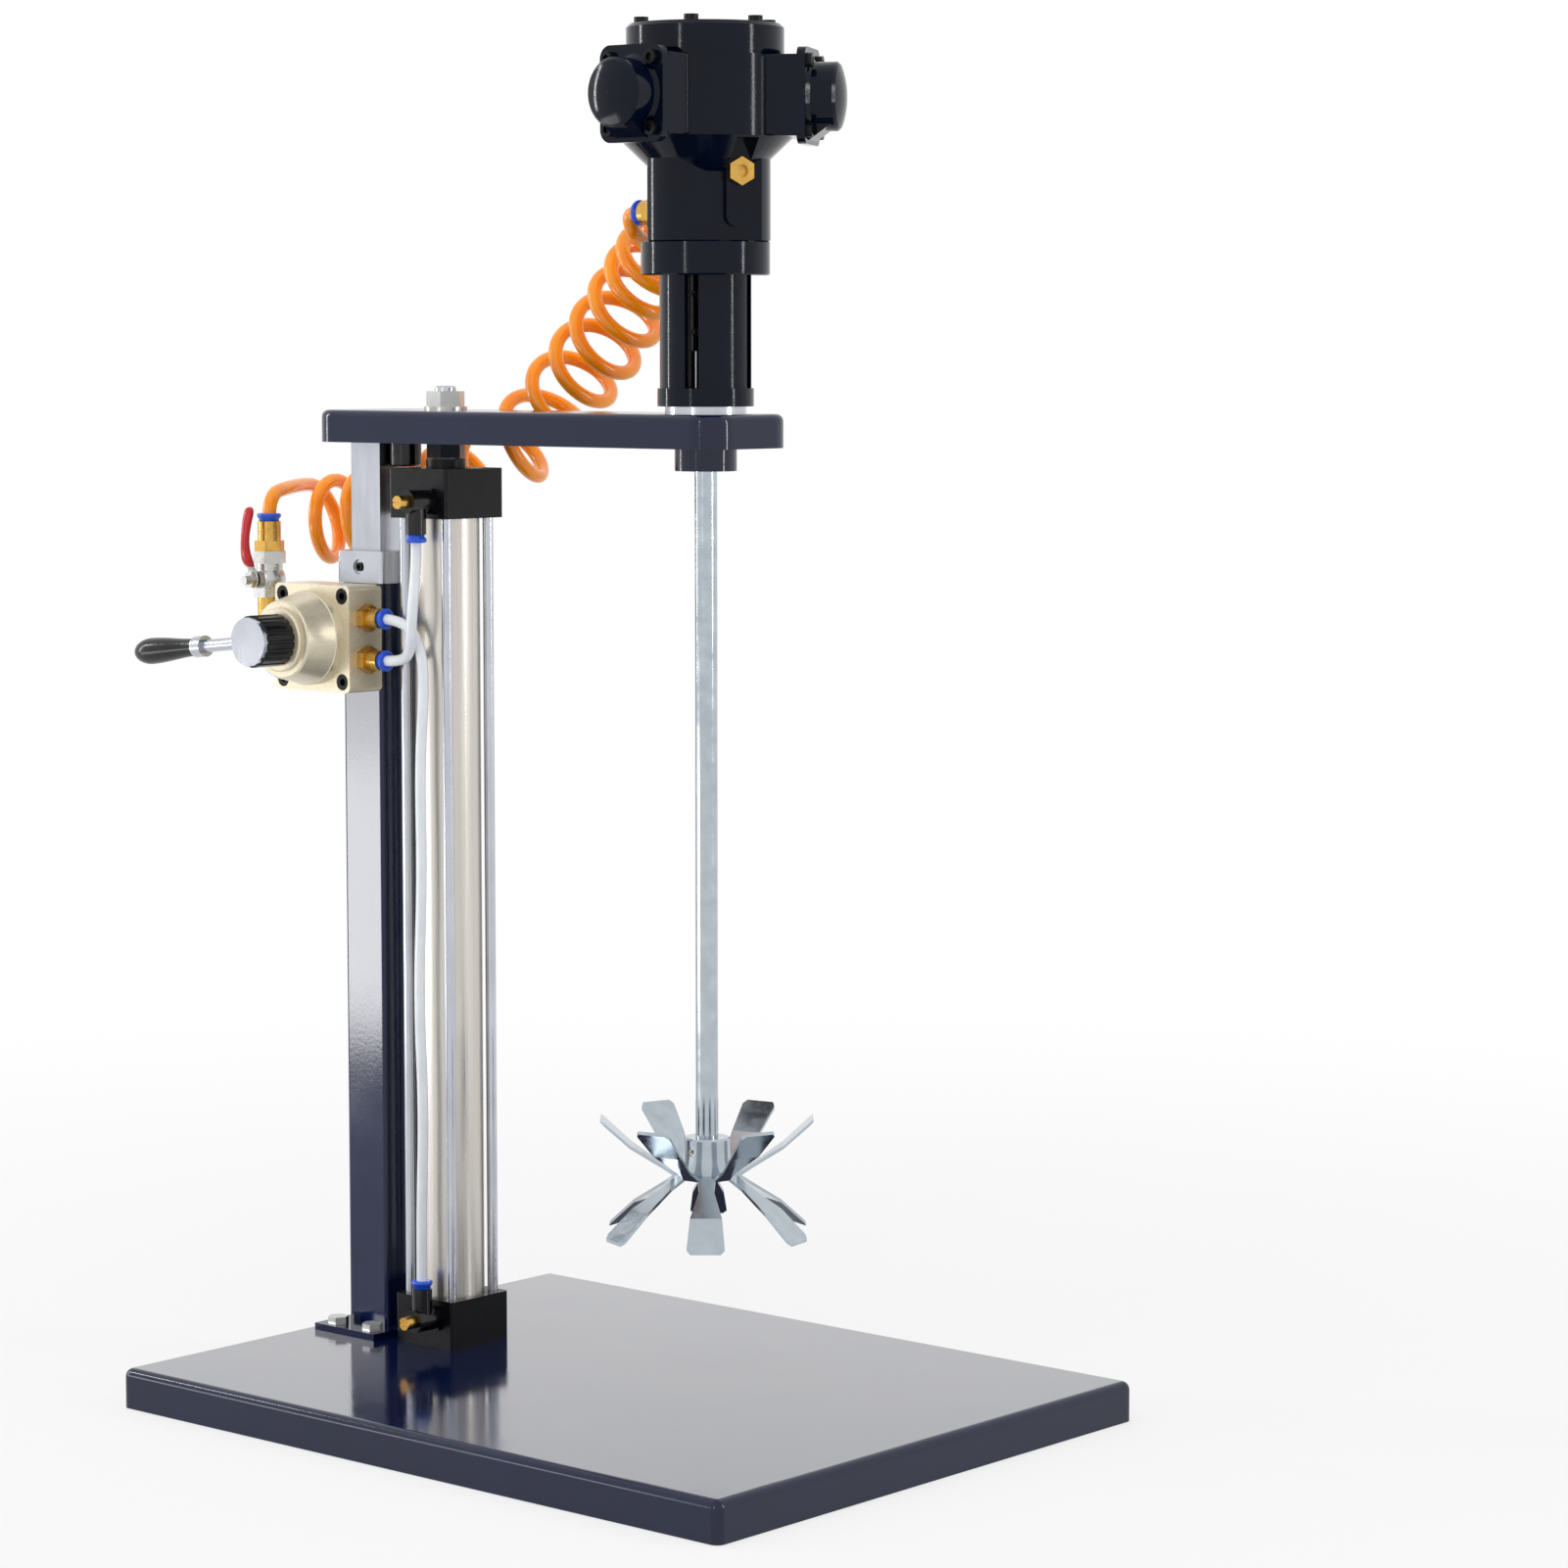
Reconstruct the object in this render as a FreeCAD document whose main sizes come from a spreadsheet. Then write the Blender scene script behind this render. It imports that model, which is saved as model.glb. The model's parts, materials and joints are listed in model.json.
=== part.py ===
# Pneumatic paint mixer on a lift stand, in millimetres.
# +Z is up, +X runs from the column along the arm to the mixing shaft, and the origin is the
# centre of the base's underside. The arm is shown down, at the bottom of the lift.
import FreeCAD
import Part
import Sketcher

import math
import os
import re

# Driving dimensions, each written once. Every other place and size follows from these.
SIZES = {
    # clearances
    "running_gap": 0.05,
    "sliding_gap": 0.1,
    "seat_gap": 0.3,
    # base
    "base_length": 440,
    "base_width": 340,
    "base_height": 22,
    "base_sheet": 3,
    "base_bevel": 5,
    "bottom_plate": 5,
    # column and guide
    "guide_inset": 34,
    "column_width": 32,
    "column_depth": 30,
    "column_wall": 2.5,
    "column_corner": 3,
    "column_drop": 79.2,
    "foot_length": 48,
    "foot_width": 68,
    "foot_height": 4,
    "bolt_radius": 3,
    "bolt_spacing_x": 28,
    "bolt_spacing_y": 50,
    "bolt_head": 5.2,
    "collar_margin": 2,
    "collar_height": 18,
    "bar_width": 23,
    "bar_depth": 22,
    "bar_wall": 3,
    "bar_lift": 6,
    # lift cylinder
    "ram_spacing": 53,
    "cap_size": 45,
    "cap_height": 27.5,
    "cap_corner": 2,
    "barrel_length": 438,
    "barrel_radius": 18.5,
    "bore_radius": 16,
    "spigot_height": 4,
    "tie_spacing": 32.5,
    "tie_radius": 3,
    "tie_head": 4.9,
    "tie_recess": 5,
    "mount_screw_radius": 3,
    "mount_screw_length": 16,
    "neck_radius": 11,
    "neck_height": 5,
    "rod_radius": 6,
    "bush_wall": 3,
    "bush_length": 20,
    "piston_height": 24,
    "piston_end_gap": 3,
    "ring_section": 1.6,
    "port_inset": 9,
    "port_radius": 3.2,
    "port_depth": 9,
    "cushion_radius": 2.5,
    "cushion_length": 8,
    # arm
    "arm_rise": 14,
    "arm_height": 18,
    "arm_back": 21,
    "arm_front": 34,
    "arm_width": 67,
    "arm_corner": 16,
    "arm_edge": 4,
    "nut_across": 19,
    "nut_height": 8.5,
    "washer_radius": 12,
    "washer_height": 2,
    "bumper_radius": 8.9,
    "bumper_offset": 32,
    # speed controllers on the cylinder
    "control_radius": 6.5,
    "control_length": 17.5,
    "control_branch_at": 10,
    "branch_radius": 5.6,
    "branch_length": 18,
    "small_tube_radius": 3,
    "release_height": 3,
    "release_wall": 1.8,
    "needle_radius": 2.6,
    "needle_length": 7,
    # hand valve
    "valve_size": 60,
    "valve_depth": 25,
    "valve_edge": 3,
    "valve_screw_spacing": 48,
    "valve_screw_radius": 2.5,
    "valve_screw_head": 4.3,
    "cover_radius": 26.5,
    "cover_length": 24,
    "neck_length": 2.5,
    "valve_neck_radius": 18,
    "spindle_radius": 5,
    "rotor_radius": 18,
    "rotor_height": 5,
    "knob_radius": 14.5,
    "knob_length": 19,
    "knob_flute": 1.2,
    "lever_disc": 3,
    "lever_rod_radius": 3.6,
    "lever_rod_length": 56,
    "lever_drop_angle": 6,
    "grip_length": 51,
    "grip_radius": 7.5,
    "port_spacing": 23.4,
    "fitting_hex": 6.8,
    "fitting_hex_length": 5,
    "fitting_radius": 5.6,
    "fitting_length": 8,
    "gas_port_radius": 5.9,
    "gas_port_depth": 12,
    # ball valve and hose outlet
    "tap_offset": 18,
    "elbow_radius": 7,
    "tap_bottom": 9,
    "tap_length": 26,
    "tap_ball_at": 10,
    "tap_radius": 7.5,
    "ball_radius": 6,
    "ball_bore": 3.5,
    "stem_radius": 2.5,
    "stem_length": 20,
    "tap_lever_length": 38,
    "tap_lever_width": 8,
    "tap_lever_plate": 2,
    "hose_radius": 4,
    "coil_radius": 25,
    "coil_gap": 3.5,
    "adapter_hex": 7.5,
    "adapter_hex_length": 6,
    "adapter_radius": 6.6,
    "adapter_length": 11,
    # motor
    "motor_reach": 194,
    "motor_angle": -90,
    "spacer_radius": 21.5,
    "spacer_height": 4,
    "flange_radius": 25.5,
    "flange_height": 9.5,
    "lantern_radius": 24.2,
    "lantern_wall": 4.2,
    "lantern_length": 59,
    "window_width": 7.5,
    "window_angle": -66,
    "ring_radius": 34,
    "ring_height": 18,
    "housing_radius": 34.3,
    "housing_height": 53.5,
    "skirt_height": 18,
    "skirt_reach": 46,
    "crankcase_radius": 43,
    "crankcase_height": 42,
    "block_width": 44,
    "block_reach": 52.6,
    "head_width": 44,
    "head_tall": 50,
    "head_flange": 4.5,
    "head_corner": 7,
    "dome_root": 20,
    "dome_radius": 18,
    "dome_reach": 72,
    "dome_bulge": 3,
    "head_screw_inset": 7,
    "lid_radius": 41.5,
    "lid_height": 17,
    "lid_bevel": 2,
    "motor_screw_radius": 2.5,
    "motor_screw_head": 3.8,
    "motor_screw_height": 3,
    "cover_screw_circle": 35,
    "inlet_rise": 15.5,
    "inlet_boss": 0.2,
    "inlet_drop": 8,
    "inlet_fitting": 9,
    "inlet_width": 15,
    "plug_angle": -30,
    "plug_rise": 35.5,
    "housing_flat": 26,
    "plug_shift": 9,
    "plug_reach": 3,
    "plug_boss_width": 14,
    "plug_hex": 6.5,
    "bearing_radius": 16,
    "bearing_height": 11,
    "crank_room": 24,
    "crank_room_height": 32,
    "crank_radius": 13,
    "crank_throw": 5,
    "crank_height": 14,
    # shaft line
    "motor_shaft_radius": 7.5,
    "coupling_radius": 8,
    "coupling_length": 40,
    "coupling_rise": 19.5,
    "set_screw_radius": 2.5,
    "shaft_radius": 6,
    "shaft_bottom": 139,
    "collar_radius": 16.5,
    "collar_length": 12,
    "bush_radius": 9.5,
    # impeller
    "hub_radius": 12.5,
    "hub_height": 23,
    "blade_level": 140,
    "blade_sheet": 1.8,
    "blade_pairs": 6,
    "blade_angle": 101,
    "web_radius": 16,
    "waist_reach": 24,
    "waist_width": 8,
    "bend_reach": 41,
    "bend_width": 17,
    "bend_rise": 16.5,
    "tip_reach": 57,
    "tip_width": 20,
    "tip_rise": 31,
}

# Places that follow from the sizes: along the base, then from the lift cylinder upwards.
PLACES = {
    "guide_x": "guide_inset - base_length / 2",
    "ram_x": "guide_x + ram_spacing",
    "motor_x": "ram_x + motor_reach",
    "inlet_reach": "housing_radius + inlet_boss",
    "arm_bottom": "base_height + 2 * cap_height + barrel_length + arm_rise",
    "column_top": "arm_bottom - column_drop",
    "valve_z": "column_top - valve_size / 2 - seat_gap",
    "lantern_low": "arm_bottom + arm_height + spacer_height",
    "housing_low": "lantern_low + flange_height + lantern_length + ring_height",
    "inlet_height": "housing_low + inlet_rise",
    "plug_height": "housing_low + plug_rise",
    "coupling_bottom": "lantern_low + flange_height + coupling_rise",
    "shaft_top": "coupling_bottom + coupling_length / 2",
}

WORD = re.compile(r"[A-Za-z_]\w*")
TURNS = {
    "Z": FreeCAD.Rotation(),
    "-Z": FreeCAD.Rotation(FreeCAD.Vector(1, 0, 0), 180),
    "X": FreeCAD.Rotation(FreeCAD.Vector(0, 1, 0), 90),
    "-X": FreeCAD.Rotation(FreeCAD.Vector(0, 1, 0), -90),
    "Y": FreeCAD.Rotation(FreeCAD.Vector(1, 0, 0), -90),
    "-Y": FreeCAD.Rotation(FreeCAD.Vector(1, 0, 0), 90),
}

doc = FreeCAD.newDocument("PaintMixer")
sheet = doc.addObject("Spreadsheet::Sheet", "Sizes")
nodes = {}
loose_screws = []


def fill_sheet():
    rows = [(name, str(number)) for name, number in SIZES.items()]
    rows += [(name, "=" + text) for name, text in PLACES.items()]
    for row, (name, content) in enumerate(rows, 1):
        sheet.set(f"A{row}", name)
        sheet.setAlias(f"B{row}", name)
        sheet.set(f"B{row}", content)
    doc.recompute()


def formula(text):
    """The text with each size's name pointing at its cell."""
    named = SIZES.keys() | PLACES.keys()
    return WORD.sub(lambda word: "Sizes." + word.group() if word.group() in named else word.group(), text)


def value(text):
    """The number that a formula gives now."""
    found = sheet.evalExpression(formula(text))
    return float(getattr(found, "Value", found))


def bind(item, **texts):
    """Ties each named property of the item to a formula."""
    for path, text in texts.items():
        item.setExpression(path.replace("__", "."), formula(text))
    return item


def place(item, x="0", y="0", z="0", axis="Z", angle=None):
    """Turns the item's own Z to the axis, or the item about Z by an angle, and moves it."""
    if angle is None:
        item.Placement = FreeCAD.Placement(FreeCAD.Vector(), TURNS[axis])
    else:
        item.Placement = FreeCAD.Placement(FreeCAD.Vector(), FreeCAD.Rotation(FreeCAD.Vector(0, 0, 1), 1))
        bind(item, Placement__Rotation__Angle=angle)
    for letter, text in zip("xyz", (x, y, z)):
        item.setExpression("Placement.Base." + letter, formula(text))
    return item


def rod(radius, length, x="0", y="0", z="0", axis="Z"):
    return place(bind(doc.addObject("Part::Cylinder", "rod"), Radius=radius, Height=length), x, y, z, axis)


def cone(radius, end_radius, length, x="0", y="0", z="0", axis="Z"):
    item = bind(doc.addObject("Part::Cone", "cone"), Radius1=radius, Radius2=end_radius, Height=length)
    return place(item, x, y, z, axis)


def ball(radius, x="0", y="0", z="0"):
    return place(bind(doc.addObject("Part::Sphere", "ball"), Radius=radius), x, y, z)


def hexagon(radius, length, x="0", y="0", z="0", axis="Z"):
    """A hexagonal prism; the radius is half its width across flats."""
    item = doc.addObject("Part::Prism", "hexagon")
    item.Polygon = 6
    bind(item, Circumradius=f"({radius}) / cos(30 deg)", Height=length)
    return place(item, x, y, z, axis)


def block(length, width, height, x="0", y="0", z="0"):
    """A box centred on x and y, standing on z."""
    item = bind(doc.addObject("Part::Box", "block"), Length=length, Width=width, Height=height)
    return place(item, f"{x} - ({length}) / 2", f"{y} - ({width}) / 2", z)


def fuse(*items):
    item = doc.addObject("Part::MultiFuse", "joined")
    item.Shapes = list(items)
    item.Refine = True
    return item


def cut(base, *tools):
    item = doc.addObject("Part::Cut", "cut")
    item.Base = base
    item.Tool = tools[0] if len(tools) == 1 else fuse(*tools)
    item.Refine = True
    return item


def group(*items):
    """Separate solids that share a node."""
    item = doc.addObject("Part::Compound", "group")
    item.Links = list(items)
    return item


def ring(radius, inner, length, x="0", y="0", z="0", axis="Z"):
    return cut(rod(radius, length, x, y, z, axis), rod(inner, length, x, y, z, axis))


def node(name, item):
    """Makes the item a sub-part under its own name."""
    item.Label = name
    nodes[name] = item
    return item


def origin_plane(body, role):
    return next(item for item in body.Origin.OriginFeatures if item.Role == role)


def tie_point(outline, line, end, u, v):
    """Fixes one end of a line of the sketch at (u, v), which are formulas."""
    for axis, kind, text in ((-2, "DistanceX", u), (-1, "DistanceY", v)):
        if text == "0":
            outline.addConstraint(Sketcher.Constraint("PointOnObject", line, end, axis))
            continue
        index = outline.addConstraint(Sketcher.Constraint(kind, -1, 1, line, end, value(text)))
        outline.setExpression(f"Constraints[{index}]", formula(text))


def sketch(body, plane, points, offset=None):
    """A closed outline on one of the body's own planes. Each point is (u, v) or (u, v, radius),
    where a radius makes the stretch to the next point an arc, turning left, or right with a minus."""
    outline = body.newObject("Sketcher::SketchObject", "outline")
    outline.AttachmentSupport = [(origin_plane(body, plane), "")]
    outline.MapMode = "FlatFace"
    if offset is not None:
        outline.setExpression("AttachmentOffset.Base.z", formula(offset))
    spots = [FreeCAD.Vector(value(point[0]), value(point[1]), 0) for point in points]
    ends = []
    for number, point in enumerate(points):
        start, end = spots[number], spots[(number + 1) % len(spots)]
        if len(point) == 2:
            line = outline.addGeometry(Part.LineSegment(start, end), False)
            ends.append((line, 1, 2))
            continue
        left = not point[2].startswith("-")
        radius = value(point[2].lstrip("-"))
        chord = end - start
        side = FreeCAD.Vector(-chord.y, chord.x, 0).normalize() * (1 if left else -1)
        to_centre = math.sqrt(radius * radius - chord.Length * chord.Length / 4)
        centre = (start + end) * 0.5 + side * to_centre
        middle = centre - side * radius
        line = outline.addGeometry(Part.Arc(start, middle, end), False)
        ends.append((line, 1, 2) if left else (line, 2, 1))
        size = outline.addConstraint(Sketcher.Constraint("Radius", line, radius))
        outline.setExpression(f"Constraints[{size}]", formula(point[2].lstrip("-")))
    for number, point in enumerate(points):
        line, start, _ = ends[number]
        before, _, end = ends[number - 1]
        outline.addConstraint(Sketcher.Constraint("Coincident", before, end, line, start))
        tie_point(outline, line, start, point[0], point[1])
    return outline


def new_body():
    return doc.addObject("PartDesign::Body", "Body")


def revolve(body, points):
    """Turns an outline of (radius, height) points about the body's own Z."""
    turned = body.newObject("PartDesign::Revolution", "turned")
    outline = sketch(body, "XZ_Plane", points)
    turned.Profile = outline
    turned.ReferenceAxis = (outline, ["V_Axis"])
    turned.Angle = 360
    body.Tip = turned
    return turned


def turned(points, x="0", y="0", z="0", axis="Z"):
    body = new_body()
    revolve(body, points)
    return place(body, x, y, z, axis)


def pad(body, plane, points, height, offset=None, both_ways=False):
    """Thickens an outline on one of the body's own planes."""
    raised = body.newObject("PartDesign::Pad", "raised")
    raised.Profile = sketch(body, plane, points, offset)
    bind(raised, Length=height)
    raised.Midplane = both_ways
    body.Tip = raised
    return raised


def repeat(body, features, count):
    """A polar pattern of features about the body's own Z."""
    pattern = body.newObject("PartDesign::PolarPattern", "around")
    pattern.Originals = features
    pattern.Axis = (next(item for item in body.Origin.OriginFeatures if item.Role == "Z_Axis"), [""])
    pattern.Angle = 360
    bind(pattern, Occurrences=count)
    body.Tip = pattern
    return pattern


def rectangle(length, width):
    """Corner points of a rectangle centred on the sketch's origin."""
    half_u, half_v = f"({length}) / 2", f"({width}) / 2"
    return [("-" + half_u, "-" + half_v), (half_u, "-" + half_v), (half_u, half_v), ("-" + half_u, half_v)]


def rounded_rectangle(length, width, corner):
    """The same with quarter-round corners."""
    u, v = f"({length}) / 2", f"({width}) / 2"
    inner_u, inner_v = f"{u} - ({corner})", f"{v} - ({corner})"
    return [
        (f"-({inner_u})", f"-{v}"), (inner_u, f"-{v}", corner),
        (u, f"-({inner_v})"), (u, inner_v, corner),
        (inner_u, v), (f"-({inner_u})", v, corner),
        (f"-{u}", inner_v), (f"-{u}", f"-({inner_v})", corner),
    ]


def edges_where(shape, test):
    return [f"Edge{number}" for number, edge in enumerate(shape.Edges, 1) if test(edge)]


def soften(body, kind, size, test):
    """A fillet or chamfer on the edges of the body's last feature that pass the test."""
    doc.recompute()
    base = body.Tip
    eased = body.newObject("PartDesign::" + kind, kind.lower())
    eased.Base = (base, edges_where(base.Shape, test))
    bind(eased, **{"Radius" if kind == "Fillet" else "Size": size})
    body.Tip = eased
    return eased


def corners(spacing_x, spacing_y):
    """The four sign pairs of a rectangular pattern as place formulas."""
    return [(f"{a} * ({spacing_x}) / 2", f"{b} * ({spacing_y}) / 2") for a in (-1, 1) for b in (-1, 1)]


# Places that several sub-parts share.
BAR_X = "guide_x"
RAM_X = "ram_x"
MOTOR_X = "motor_x"
BARREL_LOW = "base_height + cap_height"
BARREL_HIGH = "base_height + cap_height + barrel_length"
RAM_TOP = "base_height + 2 * cap_height + barrel_length"
COLUMN_FRONT = "-column_depth / 2"
VALVE_FRONT = "-column_depth / 2 - valve_depth"
VALVE_MID = "-column_depth / 2 - valve_depth / 2"
VALVE_X = "guide_x + column_width / 2 - valve_size / 2"
VALVE_LEFT = "guide_x + column_width / 2 - valve_size"
VALVE_RIGHT = "guide_x + column_width / 2"
UPPER_PORT = "valve_z + port_spacing / 2"
LOWER_PORT = "valve_z - port_spacing / 2"
PORT_X = "ram_x + port_inset"
CUSHION_X = "ram_x - port_inset"
CAP_FRONT = "-cap_size / 2"
UPPER_CONTROL = "base_height + 2 * cap_height + barrel_length - cap_height / 2 - 4"
LOWER_CONTROL = "base_height + cap_height / 2 + 4"
BRANCH_Y = "-cap_size / 2 - control_branch_at"
ARM_TOP = "arm_bottom + arm_height"
TAP_X = "guide_x + column_width / 2 - valve_size - tap_offset"
TAP_LOW = "valve_z + port_spacing / 2 + tap_bottom"
TAP_HIGH = "valve_z + port_spacing / 2 + tap_bottom + tap_length"
TAP_BALL = "valve_z + port_spacing / 2 + tap_bottom + tap_ball_at"
LANTERN_LOW = "lantern_low"
HOUSING_LOW = "housing_low"
CRANK_LOW = HOUSING_LOW + " + housing_height"
CRANK_MID = CRANK_LOW + " + crankcase_height / 2"
COVER_LOW = CRANK_LOW + " + crankcase_height"


def around(x, y, reach, angle):
    """Place formulas of a point at a reach and angle from (x, y)."""
    return f"{x} + ({reach}) * cos(1 deg * ({angle}))", f"{y} + ({reach}) * sin(1 deg * ({angle}))"


def base():
    body = new_body()
    pad(body, "XY_Plane", rectangle("base_length", "base_width"), "base_height")
    soften(body, "Fillet", "base_bevel", lambda edge: abs(edge.tangentAt(0).z) > 0.5)
    top = value("base_height")
    soften(body, "Fillet", "0.95 * base_bevel", lambda edge: abs(edge.BoundBox.ZMin - top) < 0.01)
    tray = place(body)
    inside = block("base_length - 2 * base_sheet", "base_width - 2 * base_sheet", "base_height - base_sheet")
    holes = [rod("bolt_radius", "base_height", f"{BAR_X} + {dx}", dy)
             for dx, dy in corners("bolt_spacing_x", "bolt_spacing_y")]
    holes += [rod("mount_screw_radius", "base_height", f"{RAM_X} + {dx}", dy)
              for dx, dy in corners("tie_spacing", "tie_spacing")]
    node("base_tray", cut(tray, inside, *holes))
    plate = block("base_length - 2 * base_sheet", "base_width - 2 * base_sheet", "bottom_plate")
    node("base_bottom_plate", plate)


def column():
    foot = block("foot_length", "foot_width", "foot_height", BAR_X, z="base_height")
    holes = [rod("bolt_radius", "foot_height", f"{BAR_X} + {dx}", dy, "base_height")
             for dx, dy in corners("bolt_spacing_x", "bolt_spacing_y")]
    post = new_body()
    foot_top = "base_height + foot_height"
    pad(post, "XY_Plane", rounded_rectangle("column_width", "column_depth", "column_corner"),
        f"column_top - ({foot_top})")
    place(post, BAR_X, z=foot_top)
    inside = block("column_width - 2 * column_wall", "column_depth - 2 * column_wall", "column_top",
                   BAR_X, z=foot_top)
    node("column", cut(fuse(foot, post), inside, *holes))
    bolts = []
    for dx, dy in corners("bolt_spacing_x", "bolt_spacing_y"):
        spot = (f"{BAR_X} + {dx}", dy)
        low = "base_height - base_sheet - 1.9 * bolt_radius"
        shank = rod("bolt_radius", f"{foot_top} - ({low})", *spot, low)
        head = hexagon("bolt_head", "1.3 * bolt_radius", *spot, foot_top)
        bolts.append(fuse(shank, head))
        nut = hexagon("bolt_head", "1.6 * bolt_radius", *spot, "base_height - base_sheet - 1.6 * bolt_radius")
        bolts.append(cut(nut, rod("bolt_radius", "base_height", *spot)))
    node("base_bolts", group(*bolts))


def guide():
    outer = new_body()
    width, depth = "column_width + 2 * collar_margin", "column_depth + 2 * collar_margin"
    pad(outer, "XY_Plane", rounded_rectangle(width, depth, "column_corner"), "collar_height")
    place(outer, BAR_X, z="column_top")
    hole = block("bar_width + 2 * sliding_gap", "bar_depth + 2 * sliding_gap", "collar_height",
                 BAR_X, z="column_top")
    front = f"-({depth}) / 2"
    middle = "column_top + collar_height / 2"
    screw_hole = rod("valve_screw_radius", "2 * valve_screw_radius", BAR_X, front, middle, "Y")
    recess = rod("valve_screw_head", "valve_screw_radius / 2", BAR_X, front, middle, "Y")
    node("guide_collar", cut(outer, hole, screw_hole, recess))
    screw = rod("valve_screw_radius", "2 * valve_screw_radius - seat_gap", BAR_X, front, middle, "Y")
    socket = hexagon("valve_screw_radius / 2", "valve_screw_radius", BAR_X, front, middle, "Y")
    loose_screws.append(cut(screw, socket))
    low = "base_height + foot_height + bar_lift"
    bar = block("bar_width", "bar_depth", f"arm_bottom - ({low})", BAR_X, z=low)
    core = block("bar_width - 2 * bar_wall", "bar_depth - 2 * bar_wall", f"arm_bottom - ({low}) - bar_wall",
                 BAR_X, z=low)
    node("guide_bar", cut(bar, core))


def end_cap(low, spigot_low, chamber_low, chamber_height, screws_low, control):
    """A square cylinder cap with its spigot, tie holes, port and cushion screw hole."""
    body = new_body()
    pad(body, "XY_Plane", rounded_rectangle("cap_size", "cap_size", "cap_corner"), "cap_height")
    place(body, RAM_X, z=low)
    solid = fuse(body, rod("bore_radius", "spigot_height", RAM_X, z=spigot_low))
    holes = [rod("tie_radius", "cap_height", f"{RAM_X} + {dx}", dy, screws_low)
             for dx, dy in corners("tie_spacing", "tie_spacing")]
    passage_y = f"{CAP_FRONT} + port_depth + port_radius"
    holes.append(rod("port_radius", "port_depth", PORT_X, CAP_FRONT, control, "Y"))
    holes.append(rod("port_radius / 2", "port_depth + port_radius", PORT_X, CAP_FRONT, control, "Y"))
    holes.append(rod("port_radius / 2", chamber_height, PORT_X, passage_y, chamber_low))
    holes.append(rod("cushion_radius", "cushion_length", CUSHION_X, CAP_FRONT, control, "Y"))
    return solid, holes


def ram():
    """The lift cylinder: caps, barrel, tie rods and screws, and the rod with its piston."""
    solid, holes = end_cap("base_height", BARREL_LOW, LOWER_CONTROL,
                           f"{BARREL_LOW} + spigot_height - ({LOWER_CONTROL})", "base_height", LOWER_CONTROL)
    node("cylinder_bottom_cap", cut(solid, *holes))
    low = f"{BARREL_HIGH} - spigot_height"
    solid, holes = end_cap(BARREL_HIGH, low, low, f"{UPPER_CONTROL} - ({low})", BARREL_HIGH, UPPER_CONTROL)
    top = f"{RAM_TOP} + neck_height"
    solid = fuse(solid, rod("neck_radius", "neck_height", RAM_X, z=RAM_TOP))
    holes.append(rod("rod_radius + bush_wall", f"{top} - ({BARREL_HIGH})", RAM_X, z=BARREL_HIGH))
    holes.append(rod("rod_radius + 4 * running_gap", "cap_height", RAM_X, z=low))
    holes += [rod("tie_head + seat_gap", "tie_recess", f"{RAM_X} + {dx}", dy, f"{RAM_TOP} - tie_recess")
              for dx, dy in corners("tie_spacing", "tie_spacing")]
    node("cylinder_top_cap", cut(solid, *holes))
    node("cylinder_tube", ring("barrel_radius", "bore_radius", "barrel_length", RAM_X, z=BARREL_LOW))
    ties = []
    screws = []
    for dx, dy in corners("tie_spacing", "tie_spacing"):
        spot = (f"{RAM_X} + {dx}", dy)
        tie_low = "base_height + mount_screw_length - base_sheet"
        head = rod("tie_head", "tie_recess - seat_gap", *spot, f"{RAM_TOP} - tie_recess")
        shank = rod("tie_radius", f"{RAM_TOP} - tie_recess - ({tie_low})", *spot, tie_low)
        socket = hexagon("tie_radius * 0.8", "tie_recess / 2", *spot, f"{RAM_TOP} - tie_recess / 2")
        ties.append(cut(fuse(shank, head), socket))
        head_low = "base_height - base_sheet - 2 * mount_screw_radius"
        head = rod("tie_head", "2 * mount_screw_radius", *spot, head_low)
        shank = rod("mount_screw_radius", "mount_screw_length - seat_gap", *spot, "base_height - base_sheet")
        socket = hexagon("tie_radius * 0.8", "mount_screw_radius", *spot, head_low)
        screws.append(cut(fuse(head, shank), socket))
    node("tie_rods", group(*ties))
    node("cylinder_screws", group(*screws))
    bore = "rod_radius + running_gap"
    outer = "rod_radius + bush_wall"
    bush_low = f"{top} - bush_length - bush_wall"
    node("rod_bush", ring(outer, bore, "bush_length", RAM_X, z=bush_low))
    node("rod_wiper", turned([
        (bore, "0"), (outer, "0"), (outer, "bush_wall"), ("rod_radius + bush_wall / 2", "bush_wall"),
        (bore, "bush_wall + seat_gap")], RAM_X, z=f"{top} - bush_wall"))
    for control in (LOWER_CONTROL, UPPER_CONTROL):
        screw = rod("cushion_radius", "cushion_length - seat_gap", CUSHION_X, f"{CAP_FRONT} + seat_gap",
                    control, "Y")
        socket = hexagon("cushion_radius / 2", "cushion_radius", CUSHION_X, CAP_FRONT, control, "Y")
        loose_screws.append(cut(screw, socket))


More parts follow.
